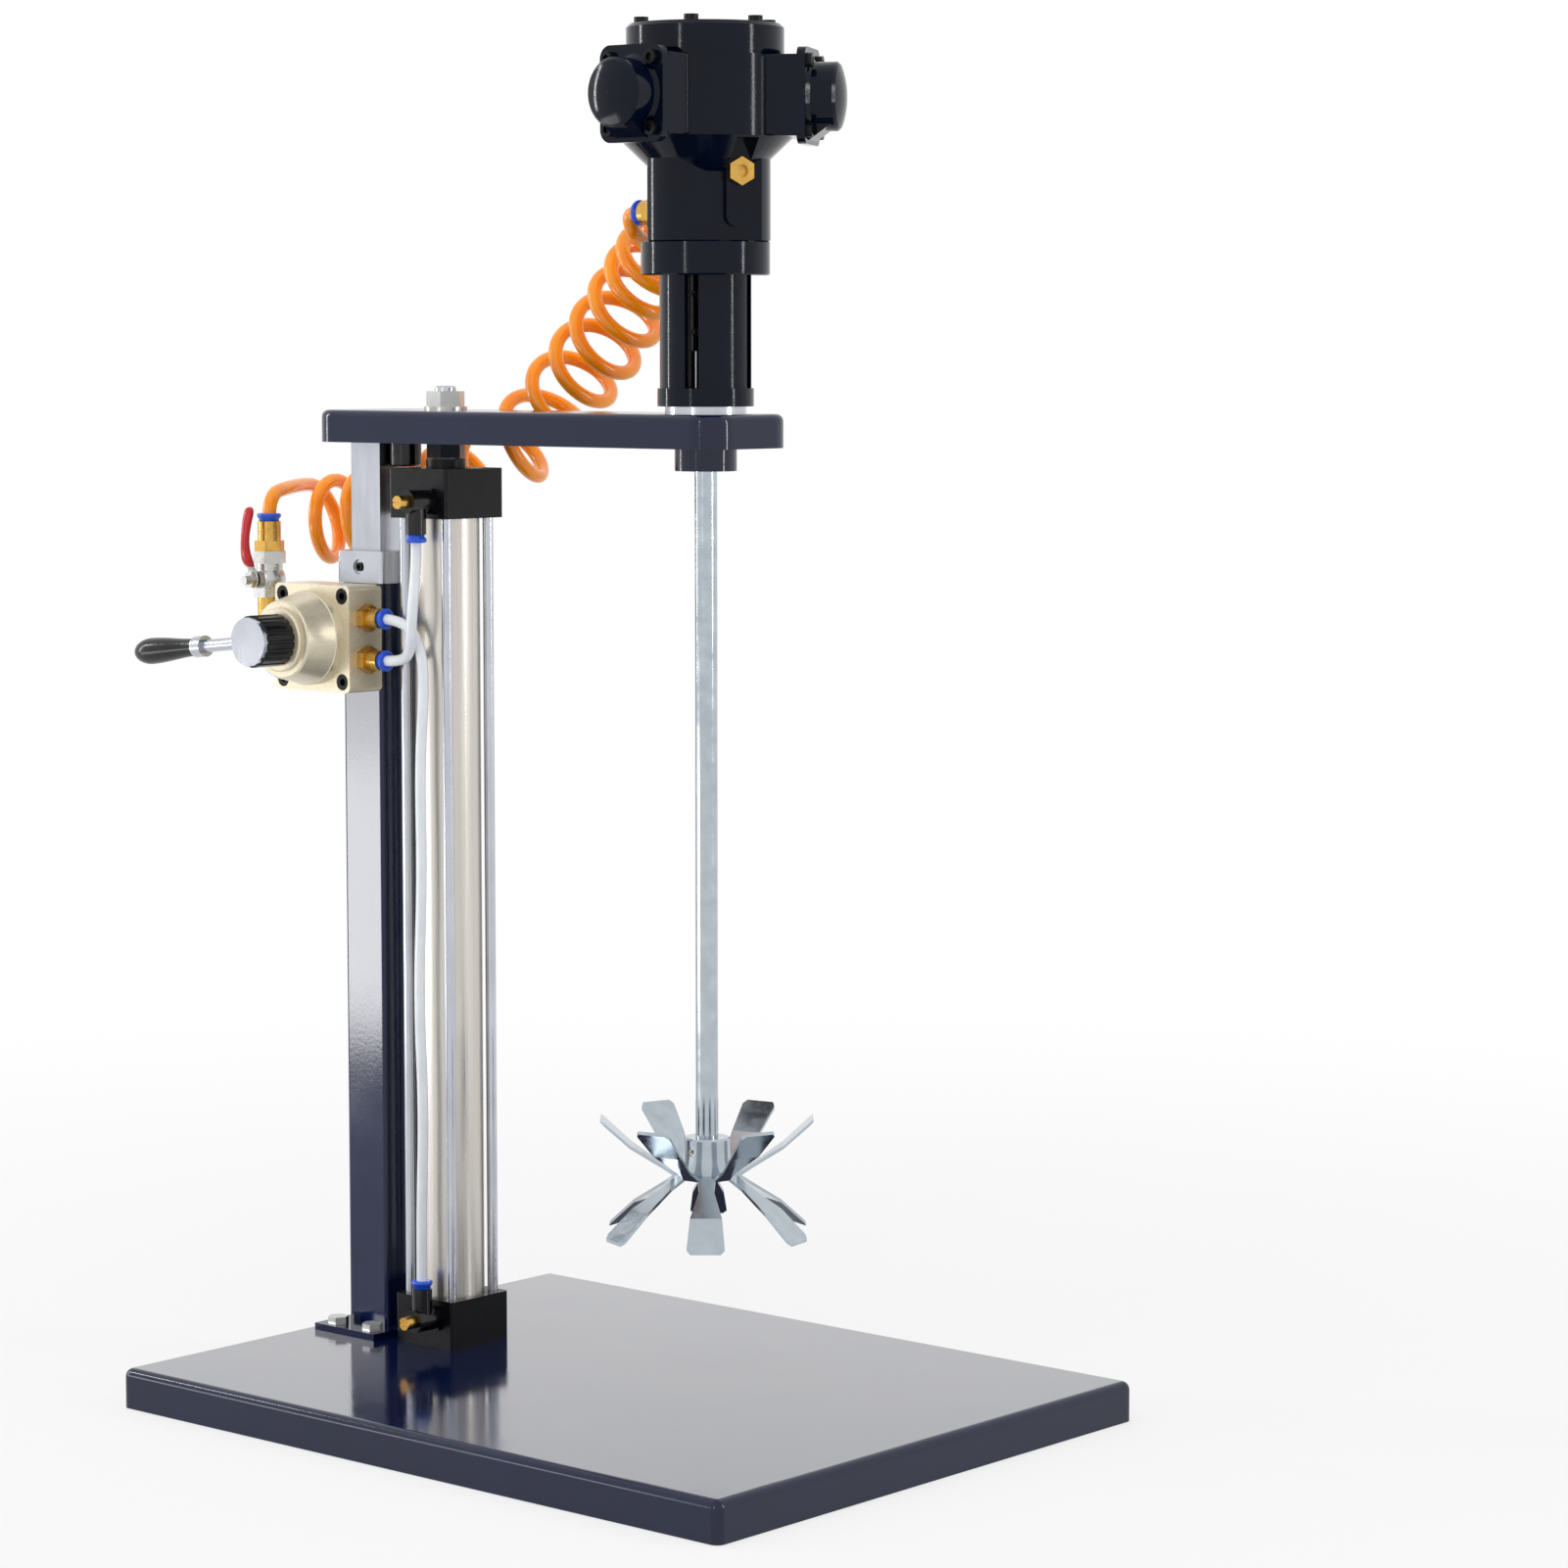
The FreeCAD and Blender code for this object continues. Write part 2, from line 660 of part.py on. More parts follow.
def piston():
    low = f"{BARREL_LOW} + spigot_height + piston_end_gap"
    outer = "bore_radius - running_gap"
    points = [("rod_radius", "0"), (outer, "0")]
    for share in ("0.25", "0.75"):
        middle = f"{share} * piston_height"
        points += [(outer, f"{middle} - ring_section"), (f"{outer} - 2 * ring_section", f"{middle} - ring_section"),
                   (f"{outer} - 2 * ring_section", f"{middle} + ring_section"),
                   (outer, f"{middle} + ring_section")]
    points += [(outer, "piston_height"), ("rod_radius", "piston_height")]
    node("piston", turned(points, RAM_X, z=low))
    node("piston_seals", group(*[
        ring(outer, f"{outer} - 2 * ring_section", "2 * ring_section", RAM_X,
             z=f"{low} + {share} * piston_height - ring_section") for share in ("0.25", "0.75")]))
    top = f"{ARM_TOP} + washer_height + nut_height"
    node("piston_rod", turned([
        ("0", "0"), ("rod_radius", "0"), ("rod_radius", f"{top} + 2 - ({low})"),
        ("rod_radius - 1", f"{top} + 3 - ({low})"), ("0", f"{top} + 3 - ({low})")], RAM_X, z=low))
    lower = hexagon("nut_across / 2", "nut_height", RAM_X, z="arm_bottom - nut_height")
    upper = hexagon("nut_across / 2", "nut_height", RAM_X, z=f"{ARM_TOP} + washer_height")
    node("rod_nuts", group(cut(lower, rod("rod_radius", "nut_height", RAM_X, z="arm_bottom - nut_height")),
                           cut(upper, rod("rod_radius", "nut_height", RAM_X, z=f"{ARM_TOP} + washer_height")),
                           ring("washer_radius", "rod_radius", "washer_height", RAM_X, z=ARM_TOP)))


def arm():
    body = new_body()
    back, front = "guide_x - arm_back", "motor_x + arm_front"
    length = f"{front} - ({back})"
    pad(body, "XY_Plane", rounded_rectangle(length, "arm_width", "arm_corner"), "arm_height")
    top = value("arm_height")
    soften(body, "Fillet", "arm_edge", lambda edge: abs(edge.BoundBox.ZMin - top) < 0.01)
    place(body, f"({back} + {front}) / 2", z="arm_bottom")
    holes = [rod("rod_radius", "arm_height", RAM_X, z="arm_bottom"),
             rod("bush_radius", "arm_height", MOTOR_X, z="arm_bottom")]
    node("arm", cut(body, *holes))
    depth = f"arm_bottom - ({RAM_TOP}) - seat_gap"
    stop = cone("bumper_radius - 1", "bumper_radius", "1", f"{RAM_X} - bumper_offset",
                z=f"{RAM_TOP} + seat_gap")
    upper = rod("bumper_radius", f"{depth} - 1", f"{RAM_X} - bumper_offset", z=f"{RAM_TOP} + seat_gap + 1")
    node("arm_stop", fuse(stop, upper))
    collar_low = "arm_bottom - collar_length"
    node("shaft_collar", cut(rod("collar_radius", "collar_length", MOTOR_X, z=collar_low),
                             rod("bush_radius", "collar_length", MOTOR_X, z=collar_low)))
    node("shaft_bush", ring("bush_radius", "shaft_radius + running_gap", "collar_length + arm_height",
                            MOTOR_X, z=collar_low))


def speed_control(middle, way):
    """A flow control in a cylinder port, its branch pointing up or down along z."""
    hub = hexagon("control_radius + 0.5", "2", PORT_X, CAP_FRONT, middle, "-Y")
    stem = rod("port_radius", "port_depth", PORT_X, f"{CAP_FRONT} + port_depth", middle, "-Y")
    body = rod("control_radius", "control_length", PORT_X, CAP_FRONT, middle, "-Y")
    branch = rod("branch_radius", "branch_length", PORT_X, BRANCH_Y, middle, "Z" if way > 0 else "-Z")
    solid = fuse(hub, stem, body, branch)
    start = f"{CAP_FRONT} + port_depth"
    hole = rod("needle_radius - running_gap - 0.6", "control_length + port_depth", PORT_X, start, middle, "-Y")
    seat = rod("needle_radius + running_gap", "control_length - control_branch_at + 2", PORT_X,
               f"{CAP_FRONT} - control_length", middle, "Y")
    feed = rod("small_tube_radius / 2", "branch_length", PORT_X, BRANCH_Y, middle, "Z" if way > 0 else "-Z")
    return cut(solid, hole, seat, feed)


def controls():
    node("speed_controllers", group(speed_control(LOWER_CONTROL, 1), speed_control(UPPER_CONTROL, -1)))
    for name, middle in (("lower_speed_screw", LOWER_CONTROL), ("upper_speed_screw", UPPER_CONTROL)):
        front = f"{CAP_FRONT} - control_length"
        shank = rod("needle_radius", "control_length - control_branch_at + 1", PORT_X, f"{front} - seat_gap",
                    middle, "Y")
        head = rod("needle_radius + 1", "needle_length - seat_gap", PORT_X, f"{front} - seat_gap", middle, "-Y")
        slot = block("4 * needle_radius", "2", "0.9", PORT_X, f"{front} - needle_length", f"{middle} - 0.45")
        node(name, cut(fuse(shank, head), slot))


def release_collar(x, y, z, axis):
    return turned([
        ("small_tube_radius", "0"), ("small_tube_radius + release_wall - 0.6", "0"),
        ("small_tube_radius + release_wall", "0.6"), ("small_tube_radius + release_wall", "release_height"),
        ("small_tube_radius", "release_height")], x, y, z, axis)


def hand_valve():
    body = new_body()
    pad(body, "XZ_Plane", rounded_rectangle("valve_size", "valve_size", "valve_edge"), "valve_depth")
    place(body, VALVE_X, COLUMN_FRONT, "valve_z")
    cavity = rod("rotor_radius + seat_gap", "rotor_height + seat_gap", VALVE_X, VALVE_FRONT, "valve_z", "Y")
    holes = [cavity]
    for dx, dz in corners("valve_screw_spacing", "valve_screw_spacing"):
        spot = (f"{VALVE_X} + {dx}", VALVE_FRONT, f"valve_z + {dz}")
        deep = "valve_depth * 0.8"
        holes.append(rod("valve_screw_radius", deep, *spot, "Y"))
        holes.append(rod("valve_screw_head + seat_gap", "valve_screw_head", *spot, "Y"))
        screw = fuse(rod("valve_screw_radius", f"{deep} - valve_screw_head", spot[0],
                         f"{VALVE_FRONT} + valve_screw_head", spot[2], "Y"),
                     rod("valve_screw_head", "valve_screw_head - seat_gap", spot[0],
                         f"{VALVE_FRONT} + seat_gap", spot[2], "Y"))
        loose_screws.append(cut(screw, hexagon("valve_screw_radius * 0.8", "valve_screw_radius", *spot, "Y")))
    depth = "gas_port_depth"
    for z in (UPPER_PORT, LOWER_PORT):
        holes.append(rod("gas_port_radius", depth, VALVE_LEFT, VALVE_MID, z, "X"))
        holes.append(rod("gas_port_radius", depth, VALVE_RIGHT, VALVE_MID, z, "-X"))
    holes.append(rod("gas_port_radius", depth, VALVE_X, VALVE_MID, "valve_z - valve_size / 2", "Z"))
    node("valve_body", cut(body, *holes))
    bore = "spindle_radius + running_gap"
    step = "cover_radius - 0.5"
    node("valve_cover", turned([
        (bore, "0"), ("cover_radius", "0"), ("cover_radius", "6"), (step, "6.5"),
        ("0.83 * cover_radius", "cover_length - 1"), ("0.83 * cover_radius - 1", "cover_length"),
        ("valve_neck_radius", "cover_length"), ("valve_neck_radius", "cover_length + neck_length - 1"),
        ("valve_neck_radius - 1", "cover_length + neck_length"), (bore, "cover_length + neck_length")],
        VALVE_X, VALVE_FRONT, "valve_z", "-Y"))


def valve_lever():
    """The spindle, the fluted skirt, the boss with its rod, and the grip, which turn together."""
    reach = "cover_length + neck_length + seat_gap"
    rotor_top = f"{VALVE_FRONT} + seat_gap"
    node("valve_spindle", fuse(
        rod("rotor_radius", "rotor_height - seat_gap", VALVE_X, rotor_top, "valve_z", "Y"),
        rod("spindle_radius", f"{reach} + seat_gap", VALVE_X, rotor_top, "valve_z", "-Y")))
    face = f"{VALVE_FRONT} - ({reach})"
    flutes = [rod("knob_flute", "knob_length", *turn_place(angle), "-Y") for angle in range(0, 360, 20)]
    skirt = rod("knob_radius", "knob_length", VALVE_X, face, "valve_z", "-Y")
    middle = f"{face} - knob_length / 2"
    room = fuse(rod("spindle_radius + 1", "knob_length", VALVE_X, face, "valve_z", "-Y"),
                lean(rod("lever_rod_radius", "lever_rod_length"), middle, "0"))
    node("lever_skirt", cut(skirt, *flutes, room))
    boss = fuse(rod("knob_radius - 1", "lever_disc", VALVE_X, f"{face} - knob_length", "valve_z", "-Y"),
                rod("spindle_radius + 1", "knob_length", VALVE_X, face, "valve_z", "-Y"))
    ferrule = lean(rod("grip_radius * 0.8", "grip_radius"), middle, "lever_rod_length - grip_radius")
    node("lever_rod", fuse(boss, lean(rod("lever_rod_radius", "lever_rod_length"), middle, "0"), ferrule))
    grip = turned([
        ("0", "0"), ("grip_radius * 0.62", "0"), ("grip_radius * 0.74", "1"),
        ("grip_radius * 0.7", "grip_length * 0.2"), ("grip_radius", "grip_length * 0.72"),
        ("grip_radius * 0.98", "grip_length * 0.84"), ("grip_radius * 0.75", "grip_length * 0.95"),
        ("0", "grip_length")])
    node("lever_grip", lean(grip, middle, "lever_rod_length"))


def turn_place(angle):
    """A point on the knob's rim as place formulas."""
    x = f"{VALVE_X} + (knob_radius + knob_flute / 3) * cos({angle} deg)"
    z = f"valve_z + (knob_radius + knob_flute / 3) * sin({angle} deg)"
    return x, f"{VALVE_FRONT} - cover_length - neck_length - seat_gap", z


def lean(item, y, reach):
    """Points the item's Z outwards along the lever, starting at a reach from the spindle."""
    item.Placement = FreeCAD.Placement(FreeCAD.Vector(), FreeCAD.Rotation(FreeCAD.Vector(0, -1, 0), 90))
    item.setExpression("Placement.Rotation.Angle", formula("90 + lever_drop_angle"))
    x = f"{VALVE_X} - ({reach}) * cos(1 deg * lever_drop_angle)"
    z = f"valve_z - ({reach}) * sin(1 deg * lever_drop_angle)"
    for letter, text in zip("xyz", (x, y, z)):
        item.setExpression("Placement.Base." + letter, formula(text))
    return item


def valve_fittings():
    parts = []
    for z in (UPPER_PORT, LOWER_PORT):
        stub = rod("gas_port_radius", "gas_port_depth", f"{VALVE_RIGHT} - gas_port_depth", VALVE_MID, z, "X")
        hexed = hexagon("fitting_hex", "fitting_hex_length", VALVE_RIGHT, VALVE_MID, z, "X")
        body = rod("fitting_radius", "fitting_hex_length + fitting_length", VALVE_RIGHT, VALVE_MID, z, "X")
        feed = rod("small_tube_radius - 1", "gas_port_depth + fitting_hex_length + fitting_length",
                   f"{VALVE_RIGHT} - gas_port_depth", VALVE_MID, z, "X")
        parts.append(cut(fuse(stub, hexed, body), feed))
    node("valve_port_fittings", group(*parts))
    mouth = f"{VALVE_RIGHT} + fitting_hex_length + fitting_length"
    collars = [release_collar(f"{mouth} + release_height", VALVE_MID, z, "-X")
               for z in (UPPER_PORT, LOWER_PORT)]
    collars.append(release_collar(PORT_X, BRANCH_Y, f"{LOWER_CONTROL} + branch_length + release_height", "-Z"))
    collars.append(release_collar(PORT_X, BRANCH_Y, f"{UPPER_CONTROL} - branch_length - release_height", "Z"))
    collars.append(hose_collar(TAP_X, VALVE_MID, f"{HOSE_LOW} + release_height", "-Z"))
    node("release_collars", group(*collars))


def ball_valve():
    """The elbow, the ball valve with its red lever, and the hose adapter above it."""
    stub = rod("gas_port_radius", "gas_port_depth + tap_offset", f"{VALVE_LEFT} + gas_port_depth", VALVE_MID,
               UPPER_PORT, "-X")
    hexed = hexagon("fitting_hex", "fitting_hex_length", VALVE_LEFT, VALVE_MID, UPPER_PORT, "-X")
    knee = ball("elbow_radius", TAP_X, VALVE_MID, UPPER_PORT)
    arm_x = rod("elbow_radius", f"tap_offset - fitting_hex_length", TAP_X, VALVE_MID, UPPER_PORT, "X")
    rise = rod("elbow_radius", "tap_bottom", TAP_X, VALVE_MID, UPPER_PORT)
    feed = rod("small_tube_radius", "gas_port_depth + tap_offset", f"{VALVE_LEFT} + gas_port_depth", VALVE_MID,
               UPPER_PORT, "-X")
    up = rod("small_tube_radius", "tap_bottom", TAP_X, VALVE_MID, UPPER_PORT)
    node("inlet_elbow", cut(fuse(stub, hexed, knee, arm_x, rise), feed, up))
    low = hexagon("tap_radius + 0.7", "tap_ball_at - 3", TAP_X, VALVE_MID, TAP_LOW)
    high = hexagon("tap_radius + 0.7", "tap_ball_at - 3", TAP_X, VALVE_MID, f"{TAP_HIGH} - tap_ball_at + 3")
    barrel = rod("tap_radius", "tap_length", TAP_X, VALVE_MID, TAP_LOW)
    bulge = ball("tap_radius + 1.6", TAP_X, VALVE_MID, TAP_BALL)
    neck = rod("stem_radius + 2.4", "tap_radius + 4", TAP_X, VALVE_MID, TAP_BALL, "-Y")
    room = ball("ball_radius + running_gap", TAP_X, VALVE_MID, TAP_BALL)
    through = rod("ball_bore", "tap_length", TAP_X, VALVE_MID, TAP_LOW)
    stem_hole = rod("stem_radius + running_gap", "tap_radius + 4", TAP_X, VALVE_MID, TAP_BALL, "-Y")
    node("ball_valve_body", cut(fuse(low, high, barrel, bulge, neck), room, through, stem_hole))
    sphere = ball("ball_radius", TAP_X, VALVE_MID, TAP_BALL)
    bore = rod("ball_bore", "2 * ball_radius", TAP_X, VALVE_MID, f"{TAP_BALL} - ball_radius")
    stem = rod("stem_radius", "stem_length", TAP_X, VALVE_MID, TAP_BALL, "-Y")
    node("valve_ball", cut(sphere, bore, stem))
    plate_y = f"{VALVE_MID} - tap_radius - 4 - seat_gap - tap_lever_plate"
    blade = new_body()
    pad(blade, "XZ_Plane", [
        ("-tap_lever_width / 2", "-tap_lever_width / 2"), ("tap_lever_width / 2", "-tap_lever_width / 2"),
        ("tap_lever_width / 2 - 1", "0.25 * tap_lever_length"), ("tap_lever_width / 2", "tap_lever_length"),
        ("-tap_lever_width / 2", "tap_lever_length"),
        ("-tap_lever_width / 2 + 1", "0.25 * tap_lever_length")], "tap_lever_plate")
    place(blade, TAP_X, f"{plate_y} + tap_lever_plate", TAP_BALL)
    sleeve = new_body()
    pad(sleeve, "XZ_Plane", rounded_rectangle("tap_lever_width + 2", "0.75 * tap_lever_length",
                                              "tap_lever_width / 2"), "2 * tap_lever_plate")
    place(sleeve, TAP_X, f"{plate_y} + 1.5 * tap_lever_plate",
          f"{TAP_BALL} + 0.72 * tap_lever_length")
    hole = rod("stem_radius", "4 * tap_lever_plate", TAP_X, f"{plate_y} + 2 * tap_lever_plate", TAP_BALL, "-Y")
    node("red_lever", cut(fuse(blade, sleeve), hole))
    nut = hexagon("stem_radius + 1.5", "1.3 * tap_lever_plate", TAP_X, plate_y, TAP_BALL, "-Y")
    inner = rod("stem_radius", "stem_length", TAP_X, VALVE_MID, TAP_BALL, "-Y")
    node("ball_stem", cut(fuse(inner, nut), rod("ball_bore", "2 * ball_radius", TAP_X, VALVE_MID,
                                                f"{TAP_BALL} - ball_radius")))
    hexed = hexagon("adapter_hex", "adapter_hex_length", TAP_X, VALVE_MID, TAP_HIGH)
    upper = rod("adapter_radius", "adapter_hex_length + adapter_length", TAP_X, VALVE_MID, TAP_HIGH)
    feed = rod("small_tube_radius", "adapter_hex_length + adapter_length", TAP_X, VALVE_MID, TAP_HIGH)
    node("hose_adapter", cut(fuse(hexed, upper), feed))


HOSE_LOW = TAP_HIGH + " + adapter_hex_length + adapter_length"


def hose_collar(x, y, z, axis):
    return turned([
        ("hose_radius", "0"), ("hose_radius + release_wall", "0"), ("hose_radius + release_wall + 0.6", "0.6"),
        ("hose_radius + release_wall + 0.6", "release_height - 0.8"),
        ("hose_radius + release_wall - 0.4", "release_height"), ("hose_radius", "release_height")],
        x, y, z, axis)


def lantern():
    """The open casting between the arm and the motor, with its windows."""
    inner = "lantern_radius - lantern_wall"
    top = "flange_height + lantern_length"
    body = turned([
        (inner, "0"), ("flange_radius", "0"), ("flange_radius", "flange_height"),
        ("lantern_radius", "flange_height"), ("lantern_radius", top), ("ring_radius - 0.8", top),
        ("ring_radius", f"{top} + 0.8"), ("ring_radius", f"{top} + ring_height - 0.8"),
        ("ring_radius - 0.8", f"{top} + ring_height"), ("bearing_radius", f"{top} + ring_height"),
        ("bearing_radius", f"{top} + ring_height - bearing_height"),
        ("bearing_radius - 4", f"{top} + ring_height - bearing_height"),
        ("bearing_radius - 4", top), (inner, top)], MOTOR_X, z=LANTERN_LOW)
    windows = []
    for quarter in range(2):
        angle = f"window_angle + {90 * quarter}"
        slot = block("2 * flange_radius", "window_width", "lantern_length")
        slot.Placement = FreeCAD.Placement(FreeCAD.Vector(), FreeCAD.Rotation(FreeCAD.Vector(0, 0, 1), 1))
        slot.setExpression("Placement.Rotation.Angle", formula(angle))
        half_u, half_v = "flange_radius", "window_width / 2"
        x = f"{MOTOR_X} - {half_u} * cos(1 deg * ({angle})) + {half_v} * sin(1 deg * ({angle}))"
        y = f"-{half_u} * sin(1 deg * ({angle})) - {half_v} * cos(1 deg * ({angle}))"
        for letter, text in zip("xyz", (x, y, f"{LANTERN_LOW} + flange_height")):
            slot.setExpression("Placement.Base." + letter, formula(text))
        windows.append(slot)
    node("lantern", cut(body, *windows))
    node("motor_spacer", ring("spacer_radius", "bush_radius", "spacer_height", MOTOR_X, z=ARM_TOP))


def radial(item, angle, reach, z, shift="0"):
    """Points the item's Z outwards from the motor's axis at an angle in degrees."""
    turn = FreeCAD.Rotation(FreeCAD.Vector(0, 0, 1), angle)
    item.Placement = FreeCAD.Placement(FreeCAD.Vector(), turn.multiply(TURNS["X"]))
    x = f"{MOTOR_X} + ({reach}) * cos({angle} deg) - ({shift}) * sin({angle} deg)"
    y = f"({reach}) * sin({angle} deg) + ({shift}) * cos({angle} deg)"
    for letter, text in zip("xyz", (x, y, z)):
        item.setExpression("Placement.Base." + letter, formula(text))
    return item


def plain_rod(radius, length):
    return bind(doc.addObject("Part::Cylinder", "rod"), Radius=radius, Height=length)


def radial_block(tall, wide, deep, corner, angle, reach, z):
    """A block with rounded corners that faces outwards from the motor's axis."""
    body = new_body()
    pad(body, "XY_Plane", rounded_rectangle(tall, wide, corner), deep)
    return radial(body, angle, reach, z)


def motor_housing():
    """The three-sided casting that carries the crankcase, with its inlet boss and plug face."""
    points = []
    half = "sqrt(housing_radius^2 - housing_flat^2)"
    for angle in (-30, 90, 210):
        for sign, end in (("-", ()), ("+", ("housing_radius",))):
            turn = f"(motor_angle + 90 + {angle}) * 1 deg"
            u = f"housing_flat * cos({turn}) - (0 {sign} {half}) * sin({turn})"
            v = f"housing_flat * sin({turn}) + (0 {sign} {half}) * cos({turn})"
            points.append((u, v) + end)
    body = new_body()
    pad(body, "XY_Plane", points, "housing_height")
    place(body, MOTOR_X, z=HOUSING_LOW)
    skirt = cone("housing_flat + 1", "skirt_reach", "skirt_height", MOTOR_X, z=f"{CRANK_LOW} - skirt_height")
    boss = block("inlet_reach - bearing_radius", "inlet_width",
                 f"{CRANK_LOW} - skirt_height / 2 - inlet_height + inlet_drop",
                 f"{MOTOR_X} - (inlet_reach + bearing_radius) / 2", z="inlet_height - inlet_drop")
    tongue = new_body()
    tall = f"{CRANK_LOW} - plug_height + 1.9 * plug_boss_width"
    pad(tongue, "XZ_Plane", rounded_rectangle("plug_boss_width", tall, "plug_boss_width / 2 - 1"),
        "2 * plug_reach")
    turn = "1 deg * plug_angle"
    relief = new_body()
    pad(relief, "XZ_Plane", rectangle("plug_boss_width - 1", f"{CRANK_LOW} - plug_height - 1"), "skirt_reach")
    spots = ((tongue, "housing_flat - plug_reach", f"{CRANK_LOW} - ({tall}) / 2 - 2"),
             (relief, "housing_flat + plug_reach", f"({CRANK_LOW} - 1 + plug_height) / 2"))
    for item, reach, z in spots:
        x = f"{MOTOR_X} + ({reach}) * cos({turn}) - plug_shift * sin({turn})"
        y = f"({reach}) * sin({turn}) + plug_shift * cos({turn})"
        place(item, x, y, z, angle="plug_angle + 90")
    bore = rod("bearing_radius - 4", "housing_height", MOTOR_X, z=HOUSING_LOW)
    seat = rod("bearing_radius", "bearing_height", MOTOR_X, z=f"{CRANK_LOW} - bearing_height")
    port = rod("gas_port_radius", "gas_port_depth", f"{MOTOR_X} - inlet_reach", "0", "inlet_height", "X")
    plug_hole = radial(plain_rod("plug_hex - 1.5", "8"), value("plug_angle"),
                       "housing_flat + plug_reach - 8", "plug_height", "plug_shift")
    spot_face = radial(plain_rod("plug_hex + 2.2", "skirt_reach"), value("plug_angle"),
                       "housing_flat + plug_reach", "plug_height", "plug_shift")
    solid = cut(fuse(body, skirt, boss, tongue), bore, seat, port, plug_hole,
                spot_face, relief)
    node("motor_housing", solid)
    plug = fuse(
        radial(plain_rod("plug_hex - 1.5", "7.7"), value("plug_angle"), "housing_flat + plug_reach - 7.7",
               "plug_height", "plug_shift"),
        radial(plain_hexagon("plug_hex", "5"), value("plug_angle"), "housing_flat + plug_reach",
               "plug_height", "plug_shift"))
    socket = radial(plain_rod("plug_hex / 2", "3"), value("plug_angle"), "housing_flat + plug_reach + 2.5",
                    "plug_height", "plug_shift")
    node("brass_plug", cut(plug, socket))
    stub = rod("gas_port_radius", "gas_port_depth + inlet_fitting", f"{MOTOR_X} - inlet_reach + gas_port_depth",
               "0", "inlet_height", "-X")
    hexed = hexagon("adapter_hex", "inlet_fitting / 2", f"{MOTOR_X} - inlet_reach", "0", "inlet_height", "-X")
    upper = rod("adapter_radius", "inlet_fitting", f"{MOTOR_X} - inlet_reach", "0", "inlet_height", "-X")
    feed = rod("small_tube_radius", "gas_port_depth + inlet_fitting",
               f"{MOTOR_X} - inlet_reach + gas_port_depth", "0", "inlet_height", "-X")
    node("inlet_fitting", cut(fuse(stub, hexed, upper), feed))
    node("hose_upper_collar", hose_collar(f"{MOTOR_X} - inlet_reach - inlet_fitting - release_height", "0",
                                          "inlet_height", "X"))


def plain_hexagon(radius, length):
    item = doc.addObject("Part::Prism", "hexagon")
    item.Polygon = 6
    return bind(item, Circumradius=f"({radius}) / cos(30 deg)", Height=length)


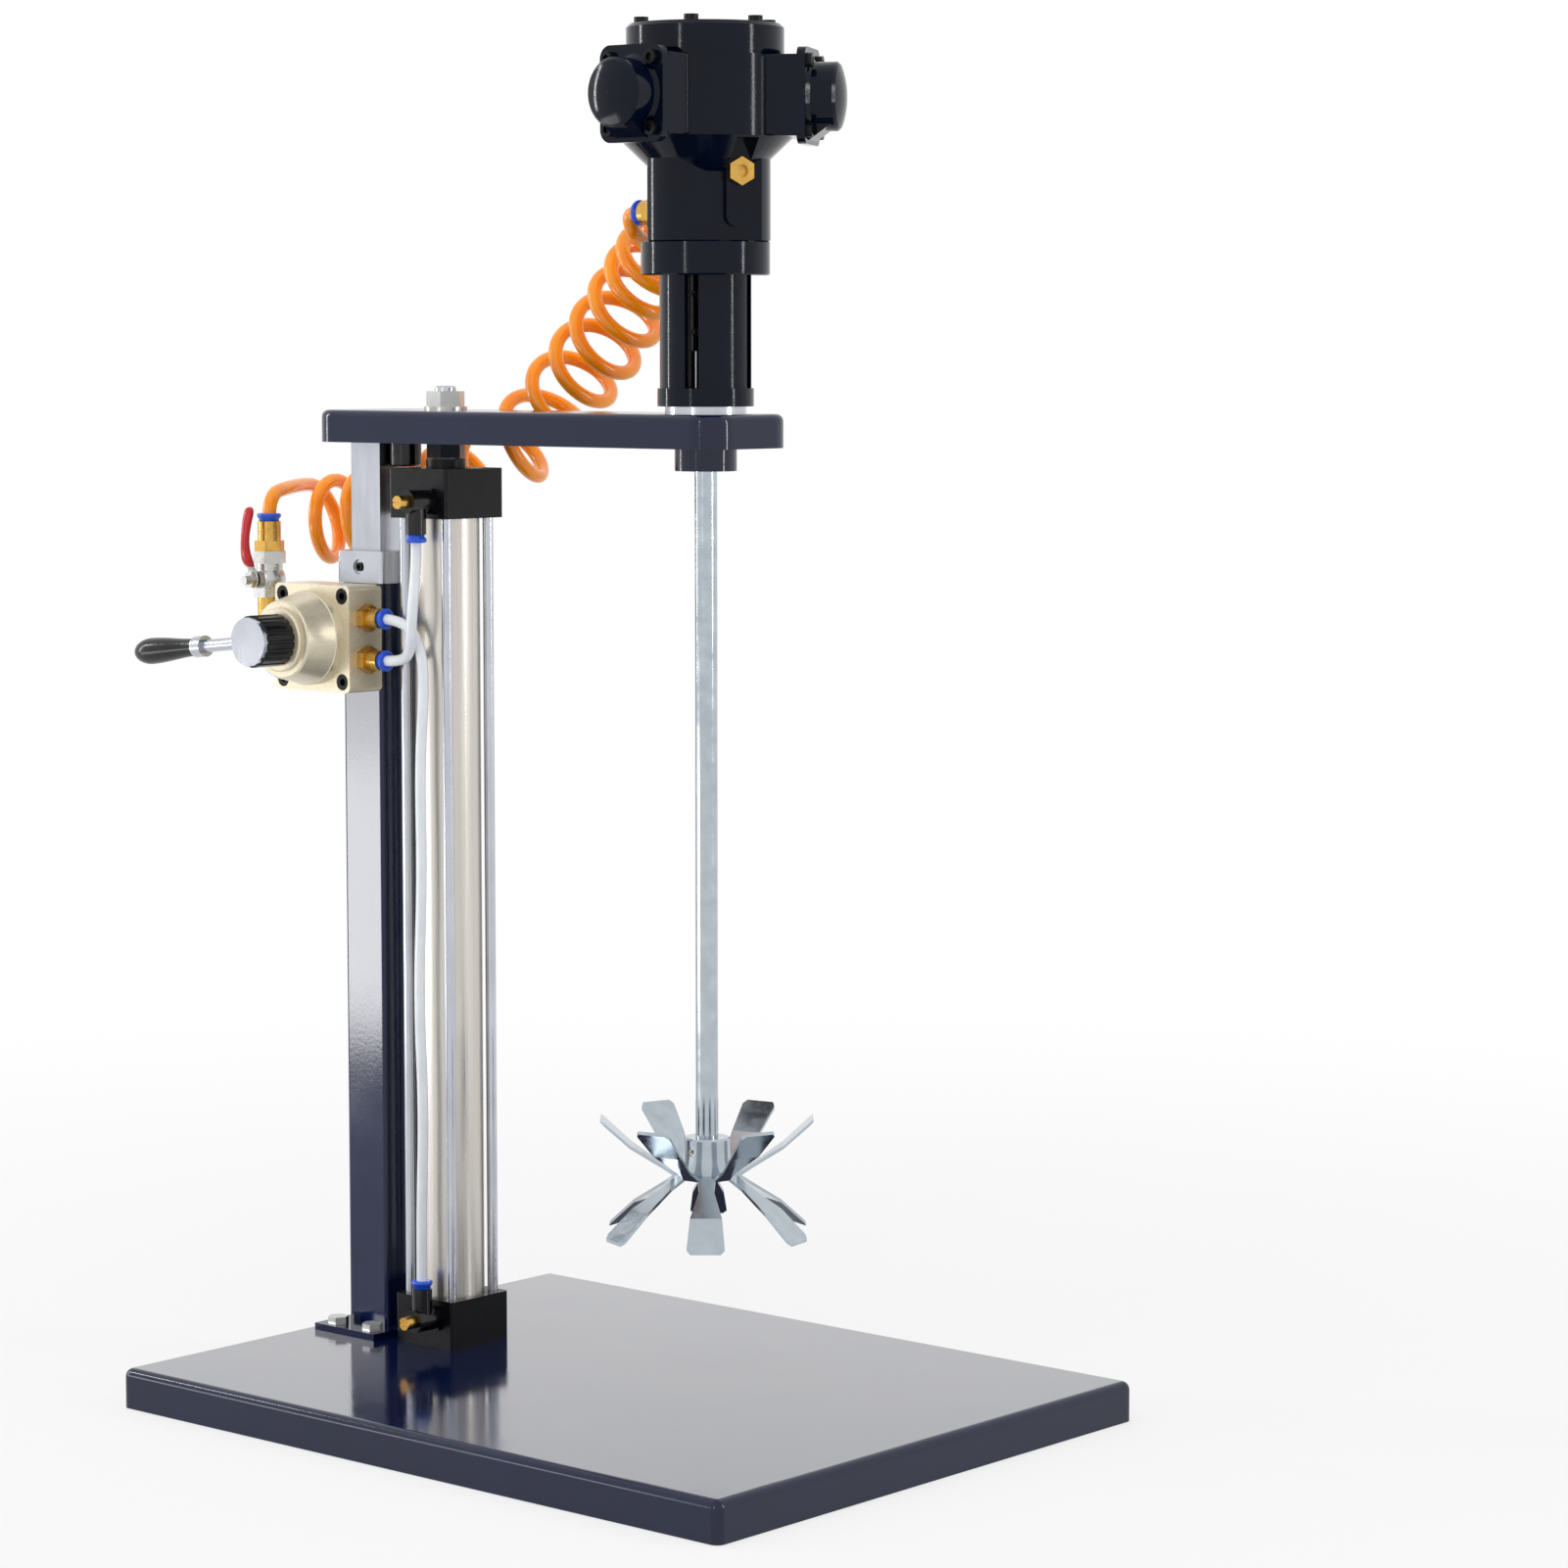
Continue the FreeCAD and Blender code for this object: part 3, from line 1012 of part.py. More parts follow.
def crankcase():
    """The crankcase with three cylinder blocks around it, their heads, the lid and the screws."""
    middle = CRANK_MID
    case = rod("crankcase_radius", "crankcase_height", MOTOR_X, z=CRANK_LOW)
    blocks = [case]
    holes = [rod("crank_room", "crankcase_height", MOTOR_X, z=CRANK_LOW)]
    heads = []
    screws = []
    up = "head_tall / 2 - head_screw_inset"
    side = "head_width / 2 - head_screw_inset"
    for third in range(3):
        angle = value("motor_angle") + 120 * third
        blocks.append(radial_block("crankcase_height", "block_width", "block_reach - crank_room", "1", angle,
                                   "crank_room", middle))
        flange = radial_block("head_tall", "head_width", "head_flange", "head_corner", angle, "block_reach",
                              middle)
        length = "dome_reach - block_reach - head_flange"
        dome = new_body()
        revolve(dome, [
            ("0", "0"), ("dome_root", "0"), ("dome_radius", "dome_root - dome_radius"),
            ("dome_radius", f"{length} - 1.5"),
            ("dome_radius - 1.5", length, "((dome_radius - 1.5)^2 + dome_bulge^2) / (2 * dome_bulge)"),
            ("0", f"{length} + dome_bulge")])
        radial(dome, angle, "block_reach + head_flange", middle)
        web = new_body()
        root = "block_reach + head_flange"
        pad(web, "XZ_Plane", [
            (root, "-head_tall / 2 + 2"), (f"{root} + 0.8 * ({length})", "-dome_radius * 0.8"),
            (f"{root} + 0.8 * ({length})", "0"), (root, "0")], "dome_radius * 1.2", both_ways=True)
        place(web, MOTOR_X, z=middle, angle=f"motor_angle + {120 * third}")
        drilled = []
        for a in ("-", ""):
            for b in ("-", ""):
                spot = (f"{middle} + {a}({up})" if a == "" else f"{middle} - ({up})", f"{b}({side})")
                root_reach = "block_reach - 6"
                drilled.append(radial(plain_rod("motor_screw_radius", "6 + head_flange"), angle, root_reach, *spot))
                shank = radial(plain_rod("motor_screw_radius", "5.7 + head_flange"), angle,
                               "block_reach - 5.7", *spot)
                cap = radial(plain_rod("motor_screw_head", "motor_screw_height"), angle, root, *spot)
                socket = radial(plain_hexagon("motor_screw_radius * 0.8", "motor_screw_height"), angle,
                                f"{root} + motor_screw_height / 2", *spot)
                screws.append(cut(fuse(shank, cap), socket))
        holes += [radial(plain_rod("motor_screw_radius", "6"), angle, "block_reach - 6", z, shift)
                  for z, shift in ((f"{middle} - ({up})", f"-({side})"), (f"{middle} - ({up})", f"({side})"),
                                   (f"{middle} + ({up})", f"-({side})"), (f"{middle} + ({up})", f"({side})"))]
        heads.append(cut(fuse(flange, dome, web), *drilled))
    lid_screws = []
    lid_holes = []
    for place_number in range(6):
        angle = value("motor_angle") + 30 + 60 * place_number
        x, y = around(MOTOR_X, "0", "cover_screw_circle", angle)
        low = f"{COVER_LOW} - 8"
        lid_holes.append(rod("motor_screw_radius", "lid_height", x, y, COVER_LOW))
        holes.append(rod("motor_screw_radius", "8", x, y, low))
        top = f"{COVER_LOW} + lid_height"
        screw = fuse(rod("motor_screw_radius", "lid_height + 7.7", x, y, f"{low} + 0.3"),
                     rod("motor_screw_head", "motor_screw_height", x, y, top))
        socket = hexagon("motor_screw_radius * 0.8", "motor_screw_height", x, y,
                         f"{top} + motor_screw_height / 2")
        lid_screws.append(cut(screw, socket))
    node("crankcase", cut(fuse(*blocks), *holes))
    node("cylinder_heads", group(*heads))
    node("motor_screws", group(*screws, *lid_screws))
    lid = turned([
        ("0", "0"), ("lid_radius", "0"), ("lid_radius", "lid_height - lid_bevel"),
        ("lid_radius - lid_bevel", "lid_height"), ("0", "lid_height")], MOTOR_X, z=COVER_LOW)
    node("motor_lid", cut(lid, *lid_holes))


def shaft_line():
    """Everything that turns: motor shaft, coupling, mixing shaft and impeller."""
    step = "coupling_bottom + coupling_length + 0.5"
    top = f"{CRANK_LOW} + crank_room_height - 2"
    straight = turned([
        ("0", "0"), ("shaft_radius", "0"), ("shaft_radius", f"{step} - shaft_top"),
        ("motor_shaft_radius", f"{step} - shaft_top"), ("motor_shaft_radius", f"{top} - shaft_top"),
        ("0", f"{top} - shaft_top")], MOTOR_X, z="shaft_top")
    crank = rod("crank_radius", "crank_height", f"{MOTOR_X} + crank_throw", "0",
                f"{CRANK_MID} - crank_height / 2")
    node("motor_shaft", fuse(straight, crank))
    bore = "motor_shaft_radius + running_gap"
    node("shaft_bearings", group(
        ring("bearing_radius", bore, "bearing_height", MOTOR_X, z=f"{HOUSING_LOW} - bearing_height"),
        ring("bearing_radius", bore, "bearing_height", MOTOR_X, z=f"{CRANK_LOW} - bearing_height")))
    sleeve = rod("coupling_radius", "coupling_length", MOTOR_X, z="coupling_bottom")
    hole = rod("shaft_radius", "coupling_length", MOTOR_X, z="coupling_bottom")
    tapped = []
    screws = []
    depth = "coupling_radius - shaft_radius"
    for share in ("0.25", "0.75"):
        z = f"coupling_bottom + {share} * coupling_length"
        tapped.append(rod("set_screw_radius", "coupling_radius", MOTOR_X, "-coupling_radius", z, "Y"))
        screws.append(cut(rod("set_screw_radius", depth, MOTOR_X, "-shaft_radius - seat_gap / 2", z, "-Y"),
                          hexagon("set_screw_radius / 2", depth, MOTOR_X, "-coupling_radius", z, "-Y")))
    node("coupling", cut(sleeve, hole, *tapped))
    node("mixing_shaft", turned([
        ("0", "0"), ("shaft_radius - 1", "0"), ("shaft_radius", "1"), ("shaft_radius", "shaft_top - shaft_bottom"),
        ("0", "shaft_top - shaft_bottom")], MOTOR_X, z="shaft_bottom"))
    hub_low = "blade_level - 2"
    z = f"{hub_low} + 0.7 * hub_height"
    screws.append(cut(rod("set_screw_radius", "hub_radius - shaft_radius - 1", MOTOR_X, "-shaft_radius", z, "-Y"),
                      hexagon("set_screw_radius / 2", "2", MOTOR_X, "-hub_radius + 2.5", z, "-Y")))
    node("set_screws", group(*screws))
    impeller(hub_low, rod("set_screw_radius", "hub_radius", MOTOR_X, "-hub_radius", z, "Y"))


def blades(way, angle):
    """Six bent arms, all up or all down, tapered in plan to a narrow waist."""
    side = new_body()
    sign = "" if way > 0 else "-"
    line = [("shaft_radius + 1", "0"), ("web_radius", "0"), ("bend_reach", "bend_rise"), ("tip_reach", "tip_rise")]
    lower = [(u, f"{sign}({v}) - blade_sheet / 2") for u, v in line]
    upper = [(u, f"{sign}({v}) + blade_sheet / 2") for u, v in reversed(line)]
    strip = pad(side, "XZ_Plane", lower + upper, "tip_width + 4", both_ways=True)
    repeat(side, [strip], "blade_pairs")
    place(side, MOTOR_X, z="blade_level", angle=angle)
    plan = new_body()
    points = [
        ("0", "-waist_width / 2 - 2"), ("waist_reach", "-waist_width / 2"), ("bend_reach", "-bend_width / 2"),
        ("tip_reach - 2", "-tip_width / 2"), ("tip_reach", "-tip_width / 2 + 2"),
        ("tip_reach", "tip_width / 2 - 2"), ("tip_reach - 2", "tip_width / 2"), ("bend_reach", "bend_width / 2"),
        ("waist_reach", "waist_width / 2"), ("0", "waist_width / 2 + 2")]
    star = pad(plan, "XY_Plane", points, "2 * tip_rise + 10", both_ways=True)
    repeat(plan, [star], "blade_pairs")
    place(plan, MOTOR_X, z="blade_level", angle=angle)
    both = doc.addObject("Part::MultiCommon", "blades")
    both.Shapes = [side, plan]
    return both


def impeller(hub_low, screw_hole):
    hub = turned([
        ("shaft_radius", "0"), ("hub_radius - 1", "0"), ("hub_radius", "1"), ("hub_radius", "hub_height - 1"),
        ("hub_radius - 1", "hub_height"), ("shaft_radius", "hub_height")], MOTOR_X, z=hub_low)
    web = ring("web_radius", "shaft_radius", "blade_sheet", MOTOR_X, z="blade_level - blade_sheet / 2")
    upper = blades(1, "blade_angle")
    lower = blades(-1, "blade_angle + 180 / blade_pairs")
    node("impeller", cut(fuse(hub, web, upper, lower), screw_hole))


def route(points, lead=0):
    """Straight runs joined by tangent arcs. Each arc takes 0.45 of the shorter run beside it,
    or 0.9 of an end run, which keeps at least the lead straight."""
    runs = [(b - a) for a, b in zip(points, points[1:])]
    pieces = []
    start = points[0]
    for number in range(1, len(points) - 1):
        before, after = runs[number - 1], runs[number]
        room_before = min(0.9 * before.Length, before.Length - lead) if number == 1 else 0.45 * before.Length
        last = number == len(points) - 2
        room_after = min(0.9 * after.Length, after.Length - lead) if last else 0.45 * after.Length
        reach = min(room_before, room_after)
        corner = points[number]
        entry = corner - before / before.Length * reach
        leave = corner + after / after.Length * reach
        turn = before.getAngle(after)
        radius = reach / math.tan(turn / 2)
        to_middle = (entry + leave) * 0.5 - corner
        centre = corner + to_middle / to_middle.Length * math.hypot(radius, reach)
        middle = centre + (corner - centre) / (corner - centre).Length * radius
        if (entry - start).Length > 0.001:
            pieces.append(Part.LineSegment(start, entry).toShape())
        pieces.append(Part.Arc(entry, middle, leave).toShape())
        start = leave
        print(f"turn {math.degrees(turn):.0f} deg, radius {radius:.1f}")
    pieces.append(Part.LineSegment(start, points[-1]).toShape())
    return Part.Wire(pieces)


def tube(name, points, radius, lead="0"):
    """A round tube along a route, as one solid."""
    spots = [FreeCAD.Vector(*[value(text) for text in point]) for point in points]
    path = route(spots, value(lead))
    size = value(radius)
    ends = Part.Wire(Part.Circle(spots[0], spots[1] - spots[0], size).toShape())
    swept = path.makePipeShell([ends], True, False)
    print(f"{name}: length {path.Length:.1f}, volume ratio {swept.Volume / (math.pi * size**2 * path.Length):.4f}")
    item = doc.addObject("Part::Feature", name)
    item.Shape = swept
    return node(name, item)


def offset(start, moves, unit):
    """Place formulas of points given as moves from a start point. A number counts in the unit."""
    return [tuple(f"{text} + ({move})" if isinstance(move, str) else f"{text} + {move} * {unit}"
                  for text, move in zip(start, step)) for step in moves]


def air_lines():
    """The two clear tubes from the hand valve to the cylinder's ports."""
    lead = "release_height + seat_gap"
    unit = "small_tube_radius"
    mouth = (f"{VALVE_RIGHT} + fitting_hex_length + fitting_length", VALVE_MID, UPPER_PORT)
    end = (PORT_X, BRANCH_Y, f"{LOWER_CONTROL} + branch_length")
    reach = f"({UPPER_PORT}) - ({LOWER_CONTROL}) - branch_length"
    down = offset(mouth, [(0, 0, 0), (6.3, 0, 0), (10.2, 0.3, -5), (11.2, -0.1, -12.7), (11, -1.2, -26.7)], unit)
    up = offset(end, [(0.4, 0.5, f"0.62 * ({reach})"), (-0.4, 0.1, f"0.44 * ({reach})"),
                      (0.3, 0.5, f"0.27 * ({reach})"), (-0.2, 0.3, f"0.13 * ({reach})"),
                      (0, 0, f"0.05 * ({reach})"), (0, 0, 0)], unit)
    tube("lower_air_tube", down + up, "small_tube_radius", lead)
    mouth = (f"{VALVE_RIGHT} + fitting_hex_length + fitting_length", VALVE_MID, LOWER_PORT)
    end = (PORT_X, BRANCH_Y, f"{UPPER_CONTROL} - branch_length")
    points = offset(mouth, [(0, 0, 0), (4.5, 0, 0), (9, -1.6, 1.6), (11, -3.2, 5.5)], unit)
    points += offset(end, [(1, -2, -13), (0, 0, -5.5), (0, 0, 0)], unit)
    tube("upper_air_tube", points, "small_tube_radius", lead)


INLET = ("motor_x - inlet_reach - inlet_fitting", "0", "inlet_height")
COIL_LOW = offset((TAP_X, VALVE_MID, HOSE_LOW), [(-6, 15.1, -0.6)], "hose_radius")[0]
COIL_HIGH = offset(INLET, [(-6.3, 10.2, -4.1)], "hose_radius")[0]
COIL_SIDE = "arm_width / 2 + coil_radius + coil_gap"
LOWER_TAIL = [(0, 0, 0), (0, 0, 6), (-6, 9.25, 4.4), (-7.9, 14.4, 4.35)]
UPPER_TAIL = [(0, 0, 0), (-6.5, 0, 0), (-8.6, 4.2, -1.9), (-4.2, 5.5, -6.2), (-1.98, 10.31, -7.06)]
COIL_SHARES = [(0, 0, 0), (0.17, 0.57, 0.06), (0.38, 0.97, 0.178), (0.54, 1, 0.34), (0.644, 1, 0.518),
               (0.758, 0.87, 0.658), (0.874, 0.6, 0.818), (0.958, 0.42, 0.932), (1, 0.3, 1)]


def hose():
    """The coiled hose as one fat tube, with its two plain tails."""
    axis = []
    for along, out, rise in COIL_SHARES:
        axis.append((f"{COIL_LOW[0]} + {along} * ({COIL_HIGH[0]} - ({COIL_LOW[0]}))",
                     f"{COIL_LOW[1]} + {out} * ({COIL_SIDE} - ({COIL_LOW[1]}))",
                     f"{COIL_LOW[2]} + {rise} * ({COIL_HIGH[2]} - ({COIL_LOW[2]}))"))
    tube("coiled_hose", axis, "coil_radius")
    low = (TAP_X, VALVE_MID, HOSE_LOW)
    tube("hose_lower_tail", offset(low, LOWER_TAIL, "hose_radius"), "hose_radius", "release_height")
    tube("hose_upper_tail", offset(INLET, UPPER_TAIL, "hose_radius"), "hose_radius", "release_height")


def check_and_write():
    doc.recompute()
    os.makedirs("parts", exist_ok=True)
    for name, item in nodes.items():
        shape = item.Shape
        if "Invalid" in item.State or "Error" in item.State or shape.isNull() or not shape.isValid():
            raise RuntimeError(f"{name} has no sound shape: {item.State}")
        box = shape.BoundBox
        print(f"{name}: {len(shape.Solids)} solids, volume {shape.Volume:.0f}, x {box.XMin:.1f}..{box.XMax:.1f}, "
              f"y {box.YMin:.1f}..{box.YMax:.1f}, z {box.ZMin:.1f}..{box.ZMax:.1f}")
        shape.exportStep(f"parts/{name}.step")
    print(len(nodes), "sub-parts written")


fill_sheet()
base()
column()
guide()
ram()
piston()
arm()
controls()
hand_valve()
valve_lever()
valve_fittings()
ball_valve()
lantern()
motor_housing()
crankcase()
shaft_line()
air_lines()
hose()
node("socket_screws", group(*loose_screws))
check_and_write()
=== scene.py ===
# %% [markdown]
# # A pneumatic paint mixer on a lift stand
#
# The real machine mixes a can of paint: an air motor on an arm turns a long shaft with a bladed
# impeller, and an air cylinder lifts the arm so that the can comes out. The hard parts come from a
# CAD model in the same frame, and this lesson gives them their finishes. It makes anew what is
# flexible or softly rounded: the coiled hose, two air tubes, a lever's grip, the release collars of
# the fittings and the ball valve's red lever.

import json
import math

import bpy
import numpy as np
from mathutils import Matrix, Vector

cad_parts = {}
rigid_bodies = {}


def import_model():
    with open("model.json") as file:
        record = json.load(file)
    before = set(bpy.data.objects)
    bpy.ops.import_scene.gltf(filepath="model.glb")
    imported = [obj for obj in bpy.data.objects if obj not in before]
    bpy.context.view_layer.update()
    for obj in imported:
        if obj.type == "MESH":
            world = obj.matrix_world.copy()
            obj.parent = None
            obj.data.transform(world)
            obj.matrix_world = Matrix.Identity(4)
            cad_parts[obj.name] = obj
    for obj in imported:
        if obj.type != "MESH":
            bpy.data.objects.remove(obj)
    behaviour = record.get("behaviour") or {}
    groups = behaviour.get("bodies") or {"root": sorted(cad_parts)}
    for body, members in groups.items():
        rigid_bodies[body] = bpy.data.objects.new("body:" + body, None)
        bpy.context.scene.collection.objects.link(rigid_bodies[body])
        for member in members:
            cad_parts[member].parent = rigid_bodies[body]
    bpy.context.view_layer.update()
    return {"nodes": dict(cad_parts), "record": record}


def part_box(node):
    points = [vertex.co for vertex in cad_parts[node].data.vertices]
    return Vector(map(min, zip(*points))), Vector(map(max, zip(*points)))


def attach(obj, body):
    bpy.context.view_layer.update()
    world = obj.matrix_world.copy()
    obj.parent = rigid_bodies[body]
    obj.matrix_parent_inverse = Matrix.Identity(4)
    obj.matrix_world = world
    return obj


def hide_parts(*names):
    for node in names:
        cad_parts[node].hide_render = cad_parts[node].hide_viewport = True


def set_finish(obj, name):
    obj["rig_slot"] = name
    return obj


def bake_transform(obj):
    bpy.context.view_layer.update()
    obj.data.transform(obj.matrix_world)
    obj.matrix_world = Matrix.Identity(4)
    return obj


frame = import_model()
MM = 0.001

# %% [markdown]
# ## The camera
#
# The photograph is a product shot from a little above and to the right of the mixer's front. The
# camera's place was worked out from edges of known length, so it is written as a point, a heading
# and a tilt. A long lens gives the nearly parallel edges that such pictures have.

# %% Camera at the photograph's viewing angle
CAMERA_PLACE = (1642.35, -1766.32, 585.74)
HEADING = math.radians(40.84)
TILT = math.radians(5.66)
FOCAL_PIXELS = 4574.15
PICTURE_PIXELS = 1601
SENSOR_WIDTH = 36.0
FARTHEST_SEEN = 50.0  # metres

PICTURE_RIGHT = np.array([math.cos(HEADING), math.sin(HEADING), 0.0])
LEVEL_WAY_BACK = np.array([math.sin(HEADING), -math.cos(HEADING), 0.0])
TOWARDS_VIEWER = LEVEL_WAY_BACK * math.cos(TILT) + np.array([0.0, 0.0, math.sin(TILT)])


def into_scene(name, data):
    """A new object that shows a mesh, or the data of a camera or a lamp."""
    thing = bpy.data.objects.new(name, data)
    bpy.context.scene.collection.objects.link(thing)
    return thing


def aim(thing, across, back, place):
    """The columns of the matrix are across, up, back and place, and up is back crossed with across."""
    matrix = np.eye(4)
    matrix[:3] = np.stack([across, np.cross(back, across), back, place], axis=1)
    thing.matrix_world = matrix.T.tolist()


lens = bpy.data.cameras.new("camera")
lens.sensor_width = SENSOR_WIDTH
lens.lens = FOCAL_PIXELS / PICTURE_PIXELS * SENSOR_WIDTH
lens.clip_end = FARTHEST_SEEN
camera = into_scene("camera", lens)
aim(camera, PICTURE_RIGHT, TOWARDS_VIEWER, np.array(CAMERA_PLACE) * MM)
bpy.context.scene.camera = camera
print("camera lens in millimetres:", round(lens.lens, 2))

# %% [markdown]
# ## The coiled hose
#
# Between the ball valve and the motor runs an 8 mm polyurethane hose, wound into a left-handed spring
# so that it follows the arm upwards. It could be simulated, but a made spring has a plain form: a
# helix around a sagging axis, with a short tail at each end. The turns are looser at the bottom, where
# the spring hangs most. Tails and helix together are the control points of one line.

# %% Control points of the hose
HOSE_RADIUS = 4.0
ADAPTER_MOUTH = (-248.0, -27.5, 483.2)
MOTOR_MOUTH = (17.5, 0.0, 653.0)
LOW_TAIL = [ADAPTER_MOUTH, (-248.0, -27.5, 498.0), (-261.0, -1.0, 501.5)]
HIGH_TAIL = [(2.5, 14.0, 639.5), (5.5, 4.0, 643.0), (6.0, 0.0, 651.5), (11.0, 0.0, 653.0), MOTOR_MOUTH]
TURNS_TO_CENTRES = np.array([
    # number of the turn, and x, y and z of the spring's axis there
    (-0.5, -276.0, 31.5, 480.0), (0.25, -262.3, 36.0, 482.2), (1.25, -243.5, 42.5, 486.0),
    (2.25, -221.0, 50.0, 492.5), (3.25, -195.0, 56.5, 501.0), (4.25, -163.5, 60.5, 512.5),
    (5.25, -128.0, 63.0, 531.5), (6.25, -104.5, 63.0, 553.5), (7.25, -82.0, 60.0, 571.5),
    (8.25, -61.0, 55.0, 587.0), (9.25, -42.5, 50.5, 603.5), (10.25, -27.0, 47.0, 618.0),
    (11.25, -14.5, 44.0, 629.0), (12.25, -6.0, 41.0, 639.2),
])
TURNS_TO_RADII = [(-0.5, 22.5), (1.0, 22.0), (3.0, 20.8), (5.0, 21.5), (9.0, 21.5), (12.3, 20.0)]
FIRST_TURN = -0.5
LAST_TURN = 12.2
POINTS_PER_TURN = 16
POINTS_AVERAGED = 9


def rolling_mean(values, width):
    """Each row becomes the mean of the rows around it; the end rows repeat outwards."""
    half = width // 2
    padded = np.pad(values, ((half, half), (0, 0)), mode="edge")
    return np.stack([np.convolve(column, np.ones(width) / width, "valid") for column in padded.T], axis=1)


def spring_points():
    """Centre plus radius times (down-side times cos of the turn plus near-side times sin of the turn)."""
    count = int(round((LAST_TURN - FIRST_TURN) * POINTS_PER_TURN)) + 1
    turn = np.linspace(FIRST_TURN, LAST_TURN, count)
    known_turns, *axis = TURNS_TO_CENTRES.T
    centre = np.stack([np.interp(turn, known_turns, places) for places in axis], axis=1)
    centre = rolling_mean(centre, POINTS_AVERAGED)
    tangent = rolling_mean(np.gradient(centre, axis=0), POINTS_AVERAGED)
    tangent /= np.linalg.norm(tangent, axis=1)[:, None]
    down = np.cross(tangent, TOWARDS_VIEWER)
    down /= np.linalg.norm(down, axis=1)[:, None]
    near = np.cross(down, tangent)
    radius = np.interp(turn, *zip(*TURNS_TO_RADII))[:, None]
    angle = 2 * np.pi * turn[:, None]
    return centre + radius * (down * np.cos(angle) + near * np.sin(angle))


hose_points = np.vstack([LOW_TAIL, spring_points(), HIGH_TAIL])
print("control points of the hose:", len(hose_points))

# %% [markdown]
# ## From control points to a smooth line
#
# A hose has no corners, so Blender lays a NURBS spline near the control points, and the spline's own
# points are read back. They lie closer together in bends than on straights. The rings of a tube look
# best at even distances, so the line is divided again.

# %% Smooth line of the hose
HOSE_STEP = 1.6


def smooth_route(points_mm, resolution=8):
    """The points of a NURBS spline of order 3 whose control points are the route's, in metres."""
    curve = bpy.data.curves.new("route", "CURVE")
    curve.dimensions = "3D"
    curve.resolution_u = resolution
    spline = curve.splines.new("NURBS")
    spline.points.add(len(points_mm) - 1)
    flat = np.ones((len(points_mm), 4))
    flat[:, :3] = np.asarray(points_mm) * MM
    spline.points.foreach_set("co", flat.ravel())
    spline.order_u = 3
    spline.use_endpoint_u = True
    holder = bpy.data.objects.new("route", curve)
    mesh = bpy.data.meshes.new_from_object(holder)
    line = np.empty(len(mesh.vertices) * 3)
    mesh.vertices.foreach_get("co", line)
    bpy.data.objects.remove(holder)
    bpy.data.curves.remove(curve)
    bpy.data.meshes.remove(mesh)
    return line.reshape(-1, 3)


def distances_along(line):
    """How far each point is from the first, measured along the line."""
    return np.r_[0.0, np.cumsum(np.linalg.norm(np.diff(line, axis=0), axis=1))]


def even_steps(line, step):
    """The same line with points at even distances along it, and its length."""
    distances = distances_along(line)
    length = distances[-1]
    wanted = np.linspace(0.0, length, int(round(length / step)) + 1)
    return np.stack([np.interp(wanted, distances, places) for places in line.T], axis=1), length


hose_line, hose_length = even_steps(smooth_route(hose_points), HOSE_STEP * MM)
print("hose length in metres:", round(float(hose_length), 3), "points:", len(hose_line))

# %% [markdown]
# ## A circle carried along the line
#
# A tube is a circle that moves along its line. At each point the circle needs two directions across
# the line. Each pair is made from the pair before it, so the circle never twists and no crease winds
# around the hose.


# %% Rings of the hose
def once_around(sides):
    """The angles of points that are spaced evenly around a circle."""
    return np.linspace(0.0, 2 * np.pi, sides, endpoint=False)


def normals_along(line):
    """The first normal is the one before it, less its part along the tangent; the second is their cross."""
    tangent = np.gradient(line, axis=0)
    tangent /= np.linalg.norm(tangent, axis=1)[:, None]
    first = np.empty_like(line)
    start = np.cross(tangent[0], [0.0, 1.0, 0.0])
    first[0] = start / np.linalg.norm(start)
    for index in range(1, len(line)):
        side = first[index - 1] - tangent[index] * np.dot(first[index - 1], tangent[index])
        first[index] = side / np.linalg.norm(side)
    return first, np.cross(tangent, first)


def rings_along(line, radius, sides=16):
    """Point of the line plus radius times (first normal times cos plus second normal times sin)."""
    first, second = normals_along(line)
    around = once_around(sides)[:, None]
    return line[:, None] + radius * (first[:, None] * np.cos(around) + second[:, None] * np.sin(around))


hose_rings = rings_along(hose_line, HOSE_RADIUS * MM, sides=18)
print("rings and points in each:", hose_rings.shape[:2])

# %% [markdown]
# ## From a grid to a mesh
#
# Every new piece is such a grid of points, worked out with numpy as whole arrays. It is closed around
# and capped at both ends, and it goes into its mesh in one go. Its UV map lets a finish follow the
# piece round its bends.


# %% Hose as one tube
def surface(name, grid, along=None):
    """A closed skin from a grid of points: rows along the piece, columns around it, a cap at each end.

    The UV map holds the distance along the piece in metres, which is a millimetre for each row where
    none is given, and the share of the way around it.
    """
    rows, columns = grid.shape[:2]
    i, j = np.meshgrid(np.arange(rows - 1), np.arange(columns), indexing="ij")
    following = (j + 1) % columns
    quads = np.stack([i * columns + j, i * columns + following,
                      (i + 1) * columns + following, (i + 1) * columns + j], axis=-1).reshape(-1, 4)
    caps = [list(range(columns))[::-1], list(range((rows - 1) * columns, rows * columns))]
    mesh = bpy.data.meshes.new(name)
    mesh.from_pydata(grid.reshape(-1, 3).tolist(), [], quads.tolist() + caps)
    mesh.polygons.foreach_set("use_smooth", np.arange(len(mesh.polygons)) < len(quads))
    along = np.arange(rows) * MM if along is None else along
    u = np.stack([along[i], along[i], along[i + 1], along[i + 1]], axis=-1)
    v = np.stack([j, j + 1, j + 1, j], axis=-1) / columns
    corners = np.zeros((len(mesh.loops), 2))
    corners[:quads.size] = np.stack([u, v], axis=-1).reshape(-1, 2)
    mesh.uv_layers.new(name="along").data.foreach_set("uv", corners.ravel())
    mesh.update()
    return into_scene(name, mesh)


